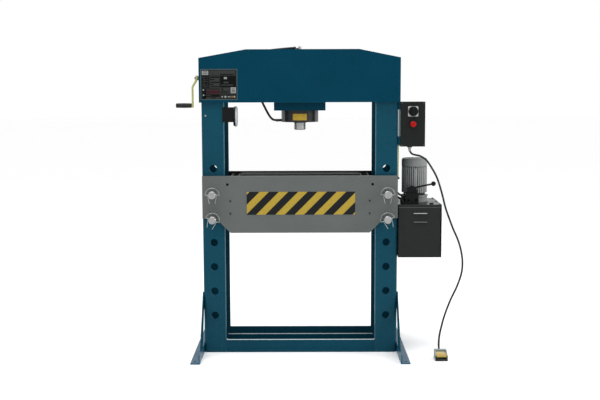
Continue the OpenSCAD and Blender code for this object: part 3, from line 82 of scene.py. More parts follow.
def area_light(name, place, target, size, energy):
    """A large soft lamp that points from its place to a target."""
    data = bpy.data.lights.new(name, "AREA")
    data.shape = "RECTANGLE"
    data.size, data.size_y = size
    data.energy = energy
    lamp = bpy.data.objects.new(name, data)
    scene.collection.objects.link(lamp)
    lamp.location = place
    aim = Vector(target) - Vector(place)
    lamp.rotation_euler = aim.to_track_quat("-Z", "Y").to_euler()


def make_stage():
    """A pale floor, a white surround and soft lamps above and at one side."""
    world = bpy.data.worlds.new("studio")
    scene.world = world
    world.use_nodes = True
    back = world.node_tree.nodes["Background"]
    back.inputs["Color"].default_value = (1.0, 1.0, 1.0, 1.0)
    back.inputs["Strength"].default_value = 1.0
    area_light("key", **KEY_LAMP)
    area_light("side", **SIDE_LAMP)
    bpy.ops.mesh.primitive_circle_add(vertices=96, radius=FLOOR_R, fill_type="NGON",
                                      location=(0, 0, -FLOOR_DROP))
    floor = bpy.context.object
    floor.name = "floor"
    mat = bpy.data.materials.new("floor_white")
    mat.use_nodes = True
    shader = mat.node_tree.nodes["Principled BSDF"]
    shader.inputs["Base Color"].default_value = (0.99, 0.99, 0.99, 1.0)
    shader.inputs["Roughness"].default_value = 0.75
    shader.inputs["Specular IOR Level"].default_value = 0.1
    floor.data.materials.append(mat)
    scene.view_settings.view_transform = "Standard"
    scene.view_settings.look = "None"


make_camera()
make_stage()


# Materials

def srgb(r, g, b):
    """A colour given as screen values from 0 to 255, as linear light."""
    def one(c):
        c /= 255.0
        return c / 12.92 if c <= 0.04045 else ((c + 0.055) / 1.055) ** 2.4
    return (one(r), one(g), one(b), 1.0)


def tint(colour, factor):
    """A colour made lighter or darker."""
    return tuple(min(1.0, c * factor) for c in colour[:3]) + (1.0,)


NOISE_ROUGH = 0.55


class Surface:
    """A material under construction: its shader and the nodes that feed it."""

    def __init__(self, name, rough=0.5, metal=0.0, spec=0.25):
        self.mat = bpy.data.materials.new(name)
        self.mat.use_nodes = True
        self.tree = self.mat.node_tree
        self.shader = self.tree.nodes["Principled BSDF"]
        self.shader.inputs["Metallic"].default_value = metal
        self.shader.inputs["Specular IOR Level"].default_value = spec
        self.shader.inputs["Roughness"].default_value = rough
        self.coords = self.node("ShaderNodeTexCoord").outputs["Object"]

    def node(self, kind, **values):
        made = self.tree.nodes.new(kind)
        for key, value in values.items():
            setattr(made, key, value)
        return made

    def link(self, a, b):
        self.tree.links.new(a, b)

    def stretched(self, scale):
        """Object coordinates scaled along each axis."""
        mapping = self.node("ShaderNodeMapping")
        mapping.inputs["Scale"].default_value = scale
        self.link(self.coords, mapping.inputs["Vector"])
        return mapping.outputs["Vector"]

    def noise(self, scale, detail, vector=None):
        tex = self.node("ShaderNodeTexNoise")
        tex.inputs["Scale"].default_value = scale
        tex.inputs["Detail"].default_value = detail
        tex.inputs["Roughness"].default_value = NOISE_ROUGH
        self.link(vector or self.coords, tex.inputs["Vector"])
        return tex.outputs["Fac"]

    def math(self, op, a, b=None):
        made = self.node("ShaderNodeMath", operation=op)
        for socket, value in zip(made.inputs, (a, b)):
            if value is None:
                continue
            if isinstance(value, (int, float)):
                socket.default_value = value
            else:
                self.link(value, socket)
        return made.outputs["Value"]

    def ramp(self, value, low, high, out_low=0.0, out_high=1.0):
        made = self.node("ShaderNodeMapRange")
        made.inputs["From Min"].default_value = low
        made.inputs["From Max"].default_value = high
        made.inputs["To Min"].default_value = out_low
        made.inputs["To Max"].default_value = out_high
        self.link(value, made.inputs["Value"])
        return made.outputs["Result"]

    def mix(self, factor, a, b):
        made = self.node("ShaderNodeMix", data_type="RGBA")
        self.link(factor, made.inputs["Factor"])
        for socket, value in ((made.inputs[6], a), (made.inputs[7], b)):
            if isinstance(value, tuple):
                socket.default_value = value
            else:
                self.link(value, socket)
        return made.outputs[2]

    def tones(self, factor, colour, dark, light):
        """A colour that wanders between a darker and a lighter tone."""
        return self.mix(factor, tint(colour, dark), tint(colour, light))

    def spread(self, scale, detail, low=0.0, high=1.0):
        """Noise with its middle range spread between two values."""
        return self.ramp(self.noise(scale, detail), 0.3, 0.7, low, high)

    def colour(self, value):
        self.link(value, self.shader.inputs["Base Color"])

    def rough(self, value):
        self.link(value, self.shader.inputs["Roughness"])

    def bump(self, height, strength, distance):
        made = self.node("ShaderNodeBump")
        made.inputs["Strength"].default_value = strength
        made.inputs["Distance"].default_value = distance
        self.link(height, made.inputs["Height"])
        self.link(made.outputs["Normal"], self.shader.inputs["Normal"])

    def part(self, axis):
        """One coordinate of the part, in metres."""
        split = self.node("ShaderNodeSeparateXYZ")
        self.link(self.coords, split.inputs["Vector"])
        return split.outputs[axis]

    def reach(self, first, first_at, second, second_at):
        """Distance from the line that lies at a given place on each of two axes."""
        a = self.math("SUBTRACT", self.part(first), first_at)
        b = self.math("SUBTRACT", self.part(second), second_at)
        return self.math("SQRT", self.math("ADD", self.math("MULTIPLY", a, a), self.math("MULTIPLY", b, b)))


def paint(name, colour, rough=0.45, spec=0.22, peel=0.12):
    """Sprayed paint: soft clouds of tone, fine orange peel and patches of duller gloss."""
    s = Surface(name, rough, 0.0, spec)
    clouds = s.spread(3.5, 4.0)
    flecks = s.ramp(s.noise(140, 2.0), 0.52, 0.72, 0.0, 0.1)
    toned = s.tones(clouds, colour, 0.93, 1.07)
    pale = tuple(min(1.0, c * 1.6 + 0.02) for c in colour[:3]) + (1.0,)
    s.colour(s.mix(flecks, toned, pale))
    s.rough(s.spread(9, 4.0, rough - 0.06, rough + 0.08))
    s.bump(s.noise(700, 2.0), peel, 0.0004)
    return s.mat


def metal(name, colour, rough=0.35, streak=(4, 4, 220)):
    """Bare or plated steel: streaks of turning or drawing and patches of handling wear."""
    s = Surface(name, rough, 1.0, 0.5)
    lines = s.noise(1.0, 3.0, s.stretched(streak))
    patches = s.ramp(s.noise(22, 4.0), 0.35, 0.7)
    s.colour(s.tones(patches, colour, 0.86, 1.06))
    s.rough(s.ramp(lines, 0.3, 0.7, rough - 0.08, rough + 0.12))
    s.bump(lines, 0.075, 0.0003)
    return s.mat


def cast(name, colour, rough):
    """Sand-cast metal: a coarse skin with pits."""
    s = Surface(name, rough, 0.0, 0.3)
    skin = s.noise(260, 4.0)
    s.colour(s.tones(s.spread(30, 3.0), colour, 0.85, 1.1))
    s.rough(s.ramp(skin, 0.3, 0.7, rough - 0.08, rough + 0.1))
    s.bump(skin, 0.35, 0.0006)
    return s.mat


def fin_surface(name, colour, low, high):
    """Cast alloy with fins: the gaps between the fins are painted near black, as painted shade."""
    s = Surface(name, 0.5, 0.0, 0.25)
    reach = s.reach("X", (low.x + high.x) / 2, "Y", (low.y + high.y) / 2)
    outer = (high.x - low.x) / 2
    proud = s.ramp(reach, outer - 0.009, outer - 0.001)
    cloud = s.spread(30, 3.0)
    bright = s.tones(cloud, colour, 0.9, 1.08)
    # Painted shade: the gaps between the fins get a near-black tone.
    s.colour(s.mix(proud, tint(colour, 0.08), bright))
    skin = s.noise(260, 4.0)
    s.rough(s.ramp(skin, 0.3, 0.7, 0.42, 0.6))
    s.bump(skin, 0.3, 0.0006)
    return s.mat


def edge_paint(name, colour, edge_highlight, edge_z):
    """Sprayed paint with a pale painted highlight along the upper edges."""
    s = Surface(name, 0.26, 0.0, 0.05)
    clouds = s.spread(3.5, 4.0)
    toned = s.tones(clouds, colour, 0.93, 1.07)
    height = s.math("ADD", s.part("Z"), s.ramp(s.noise(90, 3.0), 0.2, 0.8, -0.001, 0.001))
    # Painted highlight: a pale band from a little below the top edge upwards.
    highlight_band = s.ramp(height, edge_z, edge_z + 0.0015)
    s.colour(s.mix(highlight_band, toned, edge_highlight))
    s.rough(s.spread(9, 4.0, 0.2, 0.34))
    s.bump(s.noise(700, 2.0), 0.12, 0.0004)
    return s.mat


def inner_shade_paint(name, colour, shade_tone, face_y):
    """Sprayed paint on a plate whose inner face is darkened as painted shade."""
    s = Surface(name, 0.4, 0.0, 0.08)
    clouds = s.spread(3.5, 4.0)
    toned = s.tones(clouds, colour, 0.93, 1.07)
    painted_shade = s.tones(clouds, shade_tone, 0.85, 1.15)
    # Painted shade: faces on the inner side of face_y take a dark tone.
    s.colour(s.mix(s.math("LESS_THAN", s.part("Y"), face_y + 0.0005), toned, painted_shade))
    s.rough(s.spread(9, 4.0, 0.34, 0.48))
    s.bump(s.noise(700, 2.0), 0.12, 0.0004)
    return s.mat


def fold_paint(name, colour, pale, fold_x, front_y):
    """Sprayed paint on a folded channel, with a pale painted highlight along the inner fold."""
    s = Surface(name, 0.26, 0.0, 0.05)
    clouds = s.spread(3.5, 4.0)
    flecks = s.ramp(s.noise(140, 2.0), 0.52, 0.72, 0.0, 0.1)
    toned = s.mix(flecks, s.tones(clouds, colour, 0.93, 1.07), pale)
    ragged = s.ramp(s.noise(60, 3.0), 0.2, 0.8, -0.001, 0.001)
    reach = s.math("ADD", s.math("ABSOLUTE", s.part("X")), ragged)
    near = s.ramp(reach, fold_x + 0.006, fold_x + 0.002)
    front = s.math("LESS_THAN", s.part("Y"), front_y + 0.004)
    # Painted highlight: a pale band on the front face along the inner fold.
    s.colour(s.mix(s.math("MULTIPLY", near, front), toned, pale))
    s.rough(s.spread(9, 4.0, 0.2, 0.34))
    s.bump(s.noise(700, 2.0), 0.12, 0.0004)
    return s.mat


def plastic(name, colour, rough=0.45, spec=0.35, grain=900):
    """Moulded plastic with a fine spark-eroded grain."""
    s = Surface(name, rough, 0.0, spec)
    fine = s.noise(grain, 2.0)
    s.colour(s.tones(s.spread(40, 3.0), colour, 0.92, 1.08))
    s.rough(s.ramp(fine, 0.3, 0.7, rough - 0.05, rough + 0.07))
    s.bump(fine, 0.18, 0.0003)
    return s.mat


def rubber(name, colour, rough=0.6):
    """Hose or cable sheath: dull, with faint scuffs."""
    s = Surface(name, rough, 0.0, 0.3)
    scuff = s.noise(180, 3.0)
    s.colour(s.mix(s.ramp(scuff, 0.45, 0.8), colour, tint(colour, 1.7)))
    s.rough(s.ramp(scuff, 0.3, 0.7, rough - 0.1, rough + 0.1))
    s.bump(s.noise(1200, 2.0), 0.2, 0.0002)
    return s.mat


def split_plastic(name, colour, dark, axis, limit):
    """Moulded plastic, left dark on the low side of a limit along one axis."""
    s = Surface(name, 0.5, 0.0, 0.14)
    mottle = s.spread(60, 3.0)
    pale = s.tones(mottle, colour, 0.94, 1.06)
    shade = s.tones(mottle, dark, 0.8, 1.2)
    s.colour(s.mix(s.math("LESS_THAN", s.part(axis), limit), pale, shade))
    s.rough(s.spread(120, 3.0, 0.42, 0.58))
    s.bump(s.noise(900, 2.0), 0.1, 0.0003)
    return s.mat


def treadle_surface(name, toe, middle, heel, toe_y, heel_y):
    """Treadle paint, darker olive at the toe as painted shade, and bleached towards the heel."""
    s = Surface(name, 0.5, 0.0, 0.1)
    span = heel_y - toe_y
    place = s.math("ADD", s.part("Y"), s.ramp(s.noise(60, 3.0), 0.2, 0.8, -0.004, 0.004))
    # Painted shade: the toe is a darker olive.
    toe_shaded = s.mix(s.ramp(place, toe_y, toe_y + 0.35 * span), toe, middle)
    s.colour(s.mix(s.ramp(place, toe_y + 0.4 * span, toe_y + 0.75 * span), toe_shaded, heel))
    s.rough(s.spread(40, 3.0, 0.42, 0.6))
    s.bump(s.noise(700, 2.0), 0.12, 0.0004)
    return s.mat


def rim_plastic(name, colour, rim, low, high):
    """A moulded button head that darkens towards its rim, as painted shade."""
    s = Surface(name, 0.35, 0.0, 0.12)
    radius = (high.x - low.x) / 2
    reach = s.reach("X", (low.x + high.x) / 2, "Z", (low.z + high.z) / 2)
    grain = s.spread(140, 3.0)
    middle = s.tones(grain, colour, 0.94, 1.06)
    # Painted shade: the red darkens towards the rim.
    s.colour(s.mix(s.ramp(reach, 0.72 * radius, 1.02 * radius), middle, rim))
    s.rough(s.spread(120, 3.0, 0.3, 0.42))
    return s.mat


def fitting_surface(name, plated, blacked, split_z):
    """Turned fittings: bright zinc above a height, blacked steel below it."""
    s = Surface(name, 0.4, 1.0, 0.5)
    patches = s.ramp(s.noise(40, 4.0), 0.35, 0.7)
    upper = s.tones(patches, plated, 0.86, 1.06)
    lower = s.tones(patches, blacked, 0.7, 1.2)
    s.colour(s.mix(s.math("GREATER_THAN", s.part("Z"), split_z), lower, upper))
    s.rough(s.spread(200, 3.0, 0.32, 0.5))
    return s.mat


def rope_surface(name, colour):
    """Twisted wire rope: slanted strands around a straight lay."""
    s = Surface(name, 0.42, 1.0, 0.5)
    wave = s.node("ShaderNodeTexWave", wave_type="BANDS", bands_direction="DIAGONAL")
    wave.inputs["Scale"].default_value = 90
    wave.inputs["Distortion"].default_value = 0.6
    s.link(s.coords, wave.inputs["Vector"])
    strand = wave.outputs["Fac"]
    s.colour(s.mix(strand, tint(colour, 0.4), colour))
    s.bump(strand, 0.6, 0.001)
    return s.mat


def warning_surface(name, low_z, start_x, dark_w, step, slant):
    """Slanted dark stripes on a yellow ground, where the strip's raised stripes are."""
    s = Surface(name, 0.5, 0.0, 0.12)
    rise = s.math("MULTIPLY", s.math("SUBTRACT", s.part("Z"), low_z), slant)
    along = s.math("SUBTRACT", s.math("SUBTRACT", s.part("X"), start_x), rise)
    turn = s.math("FRACT", s.math("ADD", s.math("DIVIDE", along, step), 8.0))
    dark = s.math("LESS_THAN", turn, dark_w / step)
    scuff = s.ramp(s.noise(60, 5.0), 0.35, 0.75)
    yellow = s.mix(scuff, srgb(160, 136, 50), srgb(148, 126, 48))
    black = s.mix(scuff, srgb(17, 19, 21), srgb(23, 25, 27))
    s.colour(s.mix(dark, yellow, black))
    s.rough(s.ramp(scuff, 0.0, 1.0, 0.42, 0.58))
    s.bump(s.noise(500, 2.0), 0.1, 0.0003)
    return s.mat


def barrel_surface(name, dark_band_half, dark_band_top):
    """Grey cylinder, dark over the middle of the front of its lower flange."""
    s = Surface(name, 0.4, 0.0, 0.3)
    front = s.math("LESS_THAN", s.part("Y"), 0.0)
    middle = s.math("LESS_THAN", s.math("ABSOLUTE", s.part("X")), dark_band_half)
    below = s.math("LESS_THAN", s.part("Z"), dark_band_top)
    dark_front_band = s.math("MULTIPLY", s.math("MULTIPLY", front, middle), below)
    cloud = s.spread(24, 4.0)
    grey = s.mix(cloud, srgb(96, 98, 100), srgb(110, 112, 113))
    dark = s.mix(cloud, srgb(24, 24, 27), srgb(32, 32, 35))
    s.colour(s.mix(dark_front_band, grey, dark))
    s.rough(s.spread(80, 3.0, 0.32, 0.5))
    s.bump(s.noise(1.0, 2.0, s.stretched((6, 6, 400))), 0.08, 0.0003)
    return s.mat


def glass_surface(name):
    """Clear gauge glass with a faint breath of dust."""
    s = Surface(name, 0.05, 0.0, 0.5)
    s.shader.inputs["Transmission Weight"].default_value = 1.0
    s.shader.inputs["IOR"].default_value = 1.45
    s.shader.inputs["Base Color"].default_value = (0.96, 0.98, 0.98, 1.0)
    s.rough(s.ramp(s.noise(120, 3.0), 0.4, 0.8, 0.02, 0.12))
    return s.mat


def earth_surface(name):
    """Green and yellow insulation in bands along the wire."""
    s = Surface(name, 0.45, 0.0, 0.35)
    turn = s.math("FRACT", s.math("MULTIPLY", s.math("ADD", s.part("Z"), s.part("Y")), 60))
    green = s.math("LESS_THAN", turn, 0.4)
    s.colour(s.mix(green, srgb(205, 196, 70), srgb(70, 130, 60)))
    s.bump(s.noise(900, 2.0), 0.1, 0.0002)
    return s.mat


post_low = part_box("right_upright")[0]
button_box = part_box("stop_button")
treadle_low, treadle_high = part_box("pedal_treadle")
strip_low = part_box("warning_strip")[0]
rail_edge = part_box("base_front_rail")[1].z - 0.004
cabinet_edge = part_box("cabinet_door")[1].z - 0.0035
bed_back_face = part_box("bed_back_plate")[0].y
bezel_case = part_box("gauge_bezel")[0].x + 0.007
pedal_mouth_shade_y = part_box("pedal_base")[0].y + 0.004
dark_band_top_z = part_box("cylinder_mount")[0].z - 0.0002
DARK_BAND_HALF = 0.100
FITTING_SPLIT_Z = 1.9
STRIPE_LEAD, STRIPE_W, STRIPE_STEP, STRIPE_SLANT = -0.004, 0.065, 0.128, 0.995

BLUE = paint("blue_paint", srgb(10, 57, 73), rough=0.26, spec=0.05)
# The uprights carry a pale painted highlight along their inner fold.
UPRIGHT_BLUE = fold_paint("upright_blue", srgb(12, 60, 76), srgb(66, 100, 114), post_low.x, post_low.y)
# The feet are a lighter copy of the blue paint, as painted highlight.
FOOT_LIT_BLUE = paint("foot_blue_lit", srgb(32, 76, 98), rough=0.3, spec=0.1)
# The cylinder mount is a darker copy of the blue paint, as painted shade.
MOUNT_SHADE_BLUE = paint("mount_blue_shade", srgb(0, 40, 55), rough=0.3, spec=0.04)
# The front rail's top edge carries a pale painted highlight.
RAIL_BLUE = edge_paint("rail_blue", srgb(8, 57, 73), srgb(176, 190, 194), rail_edge)
# The header is a darker copy of the blue paint, as painted shade.
HEADER_SHADE_BLUE = paint("header_blue_shade", srgb(0, 49, 67), rough=0.26, spec=0.04)
BED = paint("bed_grey", srgb(86, 90, 89), rough=0.4, spec=0.08)
# The cabinet's top edge carries a pale painted highlight.
CABINET = edge_paint("cabinet_charcoal", srgb(35, 38, 37), srgb(80, 82, 81), cabinet_edge)
# The bed's ledges and spacers are a darker copy of the bed grey, as painted shade.
BED_INNER_SHADE = paint("bed_inner_shade", srgb(38, 41, 40), rough=0.5, spec=0.04)
# The bed back plate's inner face gets painted shade.
BED_BACK = inner_shade_paint("bed_back", srgb(86, 90, 89), srgb(14, 15, 15), bed_back_face)
CHARCOAL = paint("charcoal", srgb(35, 38, 37), rough=0.24, spec=0.06, peel=0.2)
BOX = paint("box_black", srgb(28, 31, 30), rough=0.3, spec=0.05, peel=0.2)
TANK = paint("tank_grey", srgb(88, 90, 91), rough=0.5, spec=0.1)
COWL = paint("cowl_grey", srgb(124, 128, 127), rough=0.36, spec=0.12)
ALLOY = fin_surface("motor_alloy", srgb(140, 144, 142), *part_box("motor_housing"))
BELL = cast("bell_grey", srgb(122, 124, 123), rough=0.5)
IRON = cast("cast_iron", srgb(60, 62, 64), rough=0.65)
VALVE = paint("valve_black", srgb(17, 18, 19), rough=0.4, spec=0.08, peel=0.3)
ZINC = metal("zinc_steel", srgb(158, 160, 159), rough=0.36)
FITTING = fitting_surface("hose_fitting", srgb(168, 170, 169), srgb(34, 35, 36), FITTING_SPLIT_Z)
RAM = metal("ram_steel", srgb(168, 170, 168), rough=0.3, streak=(3, 3, 500))
YELLOW_ZINC = metal("yellow_zinc", srgb(176, 180, 112), rough=0.42)
ROPE = rope_surface("wire_rope", srgb(150, 150, 147))
BEZEL = split_plastic("bezel_grey", srgb(158, 165, 168), srgb(20, 21, 23), "X", bezel_case)
GLAND = plastic("gland_grey", srgb(150, 151, 150), rough=0.5, spec=0.12)
GLASS = glass_surface("gauge_glass")
BLACK = plastic("black_plastic", srgb(15, 16, 17), rough=0.45, spec=0.1)
GRIP = plastic("grip_plastic", srgb(36, 38, 35), rough=0.5, spec=0.1)
# The stop button darkens towards its rim, as painted shade.
RED = rim_plastic("red_plastic", srgb(148, 7, 6), srgb(74, 4, 4), *button_box)
# The pedal base's front edge is dark as painted shade of the mouth under the treadle.
PEDAL = split_plastic("pedal_grey", srgb(134, 142, 140), srgb(30, 28, 24), "Y", pedal_mouth_shade_y)
# The treadle's toe is darker, as painted shade.
TREADLE = treadle_surface("treadle_yellow", srgb(152, 136, 64), srgb(184, 154, 100), srgb(174, 176, 148),
                          treadle_low.y, treadle_high.y)
PAD = paint("pad_grey", srgb(102, 118, 124), rough=0.5, spec=0.1)
LABEL = paint("plain_yellow", srgb(164, 138, 52), rough=0.4, spec=0.08)
PLATE = plastic("plate_dark", srgb(30, 32, 32), rough=0.35, spec=0.08, grain=500)
HOSE = rubber("hose_rubber", srgb(16, 17, 18))
CORD = rubber("cord_rubber", srgb(20, 22, 22))
BARREL = barrel_surface("cylinder_paint", DARK_BAND_HALF, dark_band_top_z)
EARTH = earth_surface("earth_insulation")
WARNING = warning_surface("warning_stripes", strip_low.z, strip_low.x + STRIPE_LEAD,
                          STRIPE_W, STRIPE_STEP, STRIPE_SLANT)

NODE_MATERIALS = {
    UPRIGHT_BLUE: ["left_upright", "right_upright"],
    BLUE: ["base_back_rail", "foot_braces", "side_brackets"],
    RAIL_BLUE: ["base_front_rail"],
    FOOT_LIT_BLUE: ["feet"],
    MOUNT_SHADE_BLUE: ["cylinder_mount"],
    HEADER_SHADE_BLUE: ["header_front_plate", "header_back_plate", "header_end_plates"],
    BED: ["bed_front_plate"],
    BED_BACK: ["bed_back_plate"],
    BED_INNER_SHADE: ["bed_ledges", "bed_spacers"],
    CABINET: ["cabinet", "cabinet_door"],
    CHARCOAL: ["tank_lid"],
    BOX: ["control_box", "control_cover"],
    TANK: ["oil_tank"],
    COWL: ["motor_cowl"],
    ALLOY: ["motor_housing"],
    BELL: ["bell_housing"],
    IRON: ["winch_gearbox", "pump", "cylinder_ends"],
    VALVE: ["valve_block", "valve_lever"],
    FITTING: ["hose_fittings"],
    ZINC: ["rope_drum", "rope_pulley", "motor_rotor",
           "upper_left_pin", "upper_right_pin", "lower_left_pin", "lower_right_pin"],
    RAM: ["ram"],
    YELLOW_ZINC: ["crank"],
    ROPE: ["lift_ropes", "cross_rope"],
    BEZEL: ["gauge_bezel"],
    GLAND: ["cord_gland"],
    GLASS: ["gauge_glass"],
    BLACK: ["gauge_case", "gauge_needle", "tank_caps", "switch_knob"],
    GRIP: ["crank_grip"],
    RED: ["stop_button"],
    PEDAL: ["pedal_base"],
    TREADLE: ["pedal_treadle"],
    LABEL: ["cylinder_label"],
    PLATE: ["type_plate"],
    HOSE: ["top_hose", "lower_hose"],
    CORD: ["pedal_cord"],
    BARREL: ["cylinder_barrel"],
    EARTH: ["earth_wire"],
    WARNING: ["warning_strip"],
}


def dress(node, mat):
    """Gives a CAD node its material in every slot."""
    obj = NODES[node]
    if not obj.material_slots:
        obj.data.materials.append(mat)
    for slot in obj.material_slots:
        slot.link = "OBJECT"
        slot.material = mat


for made, names in NODE_MATERIALS.items():
    for node_name in names:
        dress(node_name, made)


# Cord and hoses

def smooth(points, steps=6):
    """A smooth line through points given in millimetres, in metres."""
    pts = [Vector(p) * MM for p in points]
    line = []
    for i in range(len(pts) - 1):
        a, b = pts[max(i - 1, 0)], pts[i]
        c, d = pts[i + 1], pts[min(i + 2, len(pts) - 1)]
        for k in range(steps):
            t = k / steps
            line.append(0.5 * (2 * b + (c - a) * t + (2 * a - 5 * b + 4 * c - d) * t * t
                               + (3 * b - a - 3 * c + d) * t * t * t))
    line.append(pts[-1])
    return line


def round_line(name, line, diameter, mat, body, sides=5):
    """A round bar along a line, as a curve."""
    data = bpy.data.curves.new(name, "CURVE")
    data.dimensions = "3D"
    data.bevel_depth = diameter / 2
    data.bevel_resolution = sides
    data.use_fill_caps = True
    spline = data.splines.new("POLY")
    spline.points.add(len(line) - 1)
    for point, place in zip(spline.points, line):
        point.co = (*place, 1.0)
    data.materials.append(mat)
    obj = bpy.data.objects.new(name, data)
    scene.collection.objects.link(obj)
    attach(obj, body)
    return obj


CORD_ROUTE = [
    (732, -135, 1371.3), (732.5, -135, 1361), (739, -135, 1346.5), (749.5, -135, 1336.5), (763, -135, 1331.5),
    (783, -136, 1327.5), (808, -137, 1320), (844, -140, 1295), (879, -142, 1245), (912, -145, 1185),
    (935, -150, 1120), (955, -155, 1048), (972, -160, 980), (996, -165, 910), (1024, -170, 836),
    (1056, -180, 762), (1077, -190, 686), (1085, -200, 612), (1077, -210, 540), (1046, -225, 455),
    (1002, -240, 367), (962, -252, 265), (936, -264, 173), (925, -273, 122), (922, -280, 76),
    (922, -285, 56), (922, -296, 40), (922, -312, 30.5), (922, -325, 28), (922, -334.3, 28),
]
TOP_HOSE_ROUTE = [
    (694.3, -132, 1056), (687, -132, 1056), (676, -132, 1060), (657, -132, 1072), (640, -132, 1096),
    (628, -132, 1130), (626, -132, 1200), (626, -132, 1400), (626, -132, 1600), (624, -129, 1740),
    (608, -119, 1820), (560, -97, 1872), (490, -62, 1888), (420, 0, 1890), (340, 80, 1890),
    (240, 145, 1890), (120, 165, 1890), (0, 168, 1890), (-120, 165, 1890), (-220, 145, 1893),
    (-295, 105, 1908), (-330, 55, 1940), (-320, 18, 1982), (-270, 3, 2015), (-200, 0, 2029),
    (-130, 0, 2037), (-60, 0, 2043), (-34, 0, 2044), (-24.7, 0, 2044),
]
LOWER_HOSE_ROUTE = [
    (694.3, -102, 1030), (687, -102, 1030), (676, -102, 1034), (657, -102, 1046), (640, -102, 1070),
    (628, -102, 1104), (626, -102, 1180), (626, -102, 1400), (626, -102, 1600), (624, -99, 1700),
    (608, -89, 1775), (560, -65, 1822), (490, -27, 1838), (420, 40, 1840), (340, 110, 1840),
    (240, 150, 1840), (120, 165, 1840), (0, 168, 1840), (-110, 163, 1838), (-200, 135, 1825),
    (-255, 90, 1790), (-272, 45, 1742), (-258, 12, 1690), (-234, 0, 1640), (-208, 0, 1592), (-185, 0, 1566),
    (-158, 0, 1560), (-142.7, 0, 1560),
]

CORD_D, HOSE_D = 0.013, 0.015
cord_line = smooth(CORD_ROUTE)
cord = round_line("pedal_lead", cord_line, CORD_D, CORD, "frame")
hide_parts("pedal_cord")
top_hose_line = smooth(TOP_HOSE_ROUTE)
lower_hose_line = smooth(LOWER_HOSE_ROUTE)
for hose_name, hose_line in (("top_hose", top_hose_line), ("lower_hose", lower_hose_line)):
    hose = round_line(hose_name + "_sheath", hose_line, HOSE_D, HOSE, "frame")
    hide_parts(hose_name)


# Shapes in mesh code

def add_lathe(bm, profile, place, axis, segments=28, index=0):
    """Turns a profile of (radius, height) round an axis through a place."""
    turn = Vector((0, 0, 1)).rotation_difference(Vector(axis)).to_matrix()
    rings = []
    for radius, height in profile:
        if radius < 1e-7:
            rings.append([bm.verts.new(Vector(place) + turn @ Vector((0, 0, height)))])
            continue
        ring = []
        for k in range(segments):
            angle = 2 * math.pi * k / segments
            ring.append(bm.verts.new(
                Vector(place) + turn @ Vector((radius * math.cos(angle), radius * math.sin(angle), height))))
        rings.append(ring)
    for low, high in zip(rings, rings[1:]):
        for i in range(segments):
            j = (i + 1) % segments
            if len(low) == 1 and len(high) == 1:
                continue
            if len(low) == 1:
                corners = (low[0], high[j], high[i])
            elif len(high) == 1:
                corners = (low[i], low[j], high[0])
            else:
                corners = (low[i], low[j], high[j], high[i])
            face = bm.faces.new(corners)
            face.material_index = index


def add_slab(bm, low, high, index=0, bevel=0.0):
    """A block between two corners, with softened edges where a bevel is given."""
    made = bmesh.ops.create_cube(bm, size=1.0)
    low, high = Vector(low), Vector(high)
    for v in made["verts"]:
        v.co = Vector([(a + b) / 2 + c * (b - a) for a, b, c in zip(low, high, v.co)])
    faces = {f for v in made["verts"] for f in v.link_faces}
    for f in faces:
        f.material_index = index
    if bevel:
        edges = list({e for v in made["verts"] for e in v.link_edges})
        done = bmesh.ops.bevel(bm, geom=edges, offset=bevel, segments=2, affect="EDGES", profile=0.6)
        for f in done["faces"]:
            f.material_index = index


def piece(name, bm, mats, body, sharp=35):
    """Finishes a mesh as a piece that rides on a body."""
    mesh = bpy.data.meshes.new(name)
    bmesh.ops.recalc_face_normals(bm, faces=bm.faces)
    bm.to_mesh(mesh)
    bm.free()
    for mat in mats:
        mesh.materials.append(mat)
    for poly in mesh.polygons:
        poly.use_smooth = True
    mesh.set_sharp_from_angle(angle=math.radians(sharp))
    obj = bpy.data.objects.new(name, mesh)
    scene.collection.objects.link(obj)
    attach(obj, body)
    return obj


WASHER = [(0, 0), (1.15, 0), (1.15, 0.2), (0, 0.2)]
HEX_HEAD = [(0, 0.2), (1, 0.2), (1, 0.75), (0.84, 0.9), (0.4, 0.94), (0, 0.94)]
SCREW_HEAD = [(0, 0), (1, 0), (1, 0.25), (0.8, 0.5), (0.28, 0.6), (0.24, 0.3), (0, 0.26)]


def scaled(profile, factor):
    """A profile of (radius, height) made larger or smaller."""
    return [(radius * factor, height * factor) for radius, height in profile]


def add_bolt(bm, place, axis, radius):
    """A hexagon bolt head on its washer."""
    add_lathe(bm, scaled(WASHER, radius), place, axis, 28)
    add_lathe(bm, scaled(HEX_HEAD, radius), place, axis, 6)


def add_screw(bm, place, axis, radius):
    """A pan-head screw with a round drive recess."""
    add_lathe(bm, scaled(SCREW_HEAD, radius), place, axis, 20)


def fixings(add_head, name, places, axis, radius, mat, body="frame"):
    """Bolts or screws at places given in millimetres, as one piece."""
    bm = bmesh.new()
    for place in places:
        add_head(bm, Vector(place) * MM, axis, radius * MM)
    piece(name, bm, [mat], body)


def box_mm(node):
    """The low and the high corner of a CAD node's box, in millimetres."""
    return [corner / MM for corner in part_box(node)]


DARK_STEEL = metal("dark_steel", srgb(96, 97, 98), rough=0.45)
BLACK_STEEL = metal("black_steel", srgb(58, 59, 60), rough=0.5)
WHITE = plastic("switch_white", srgb(164, 166, 165), rough=0.4, spec=0.1)
WELD = paint("weld_bead", srgb(10, 56, 72), rough=0.3, spec=0.06, peel=0.6)
BED_WELD = paint("bed_weld", srgb(84, 88, 87), rough=0.4, spec=0.08, peel=0.6)
SIDES = ((-1, "left"), (1, "right"))
ENDS = ((-1, "front"), (1, "back"))


# Bolts and screws

BED_BOLT_X, BED_BOLT_ROWS, BED_BOLT_R = 462, (1033, 948), 5.5
COVER_T, COVER_INSET, COVER_SCREW_R = 4, 9, 3.6
LID_INSET_X, LID_INSET_Y, LID_MIDDLE, LID_BOLT_R = 12, 14, 200, 5.5
COWL_SCREWS, COWL_SCREW_TURN, COWL_SCREW_UP, COWL_SCREW_R = 4, 20, 12, 3.2

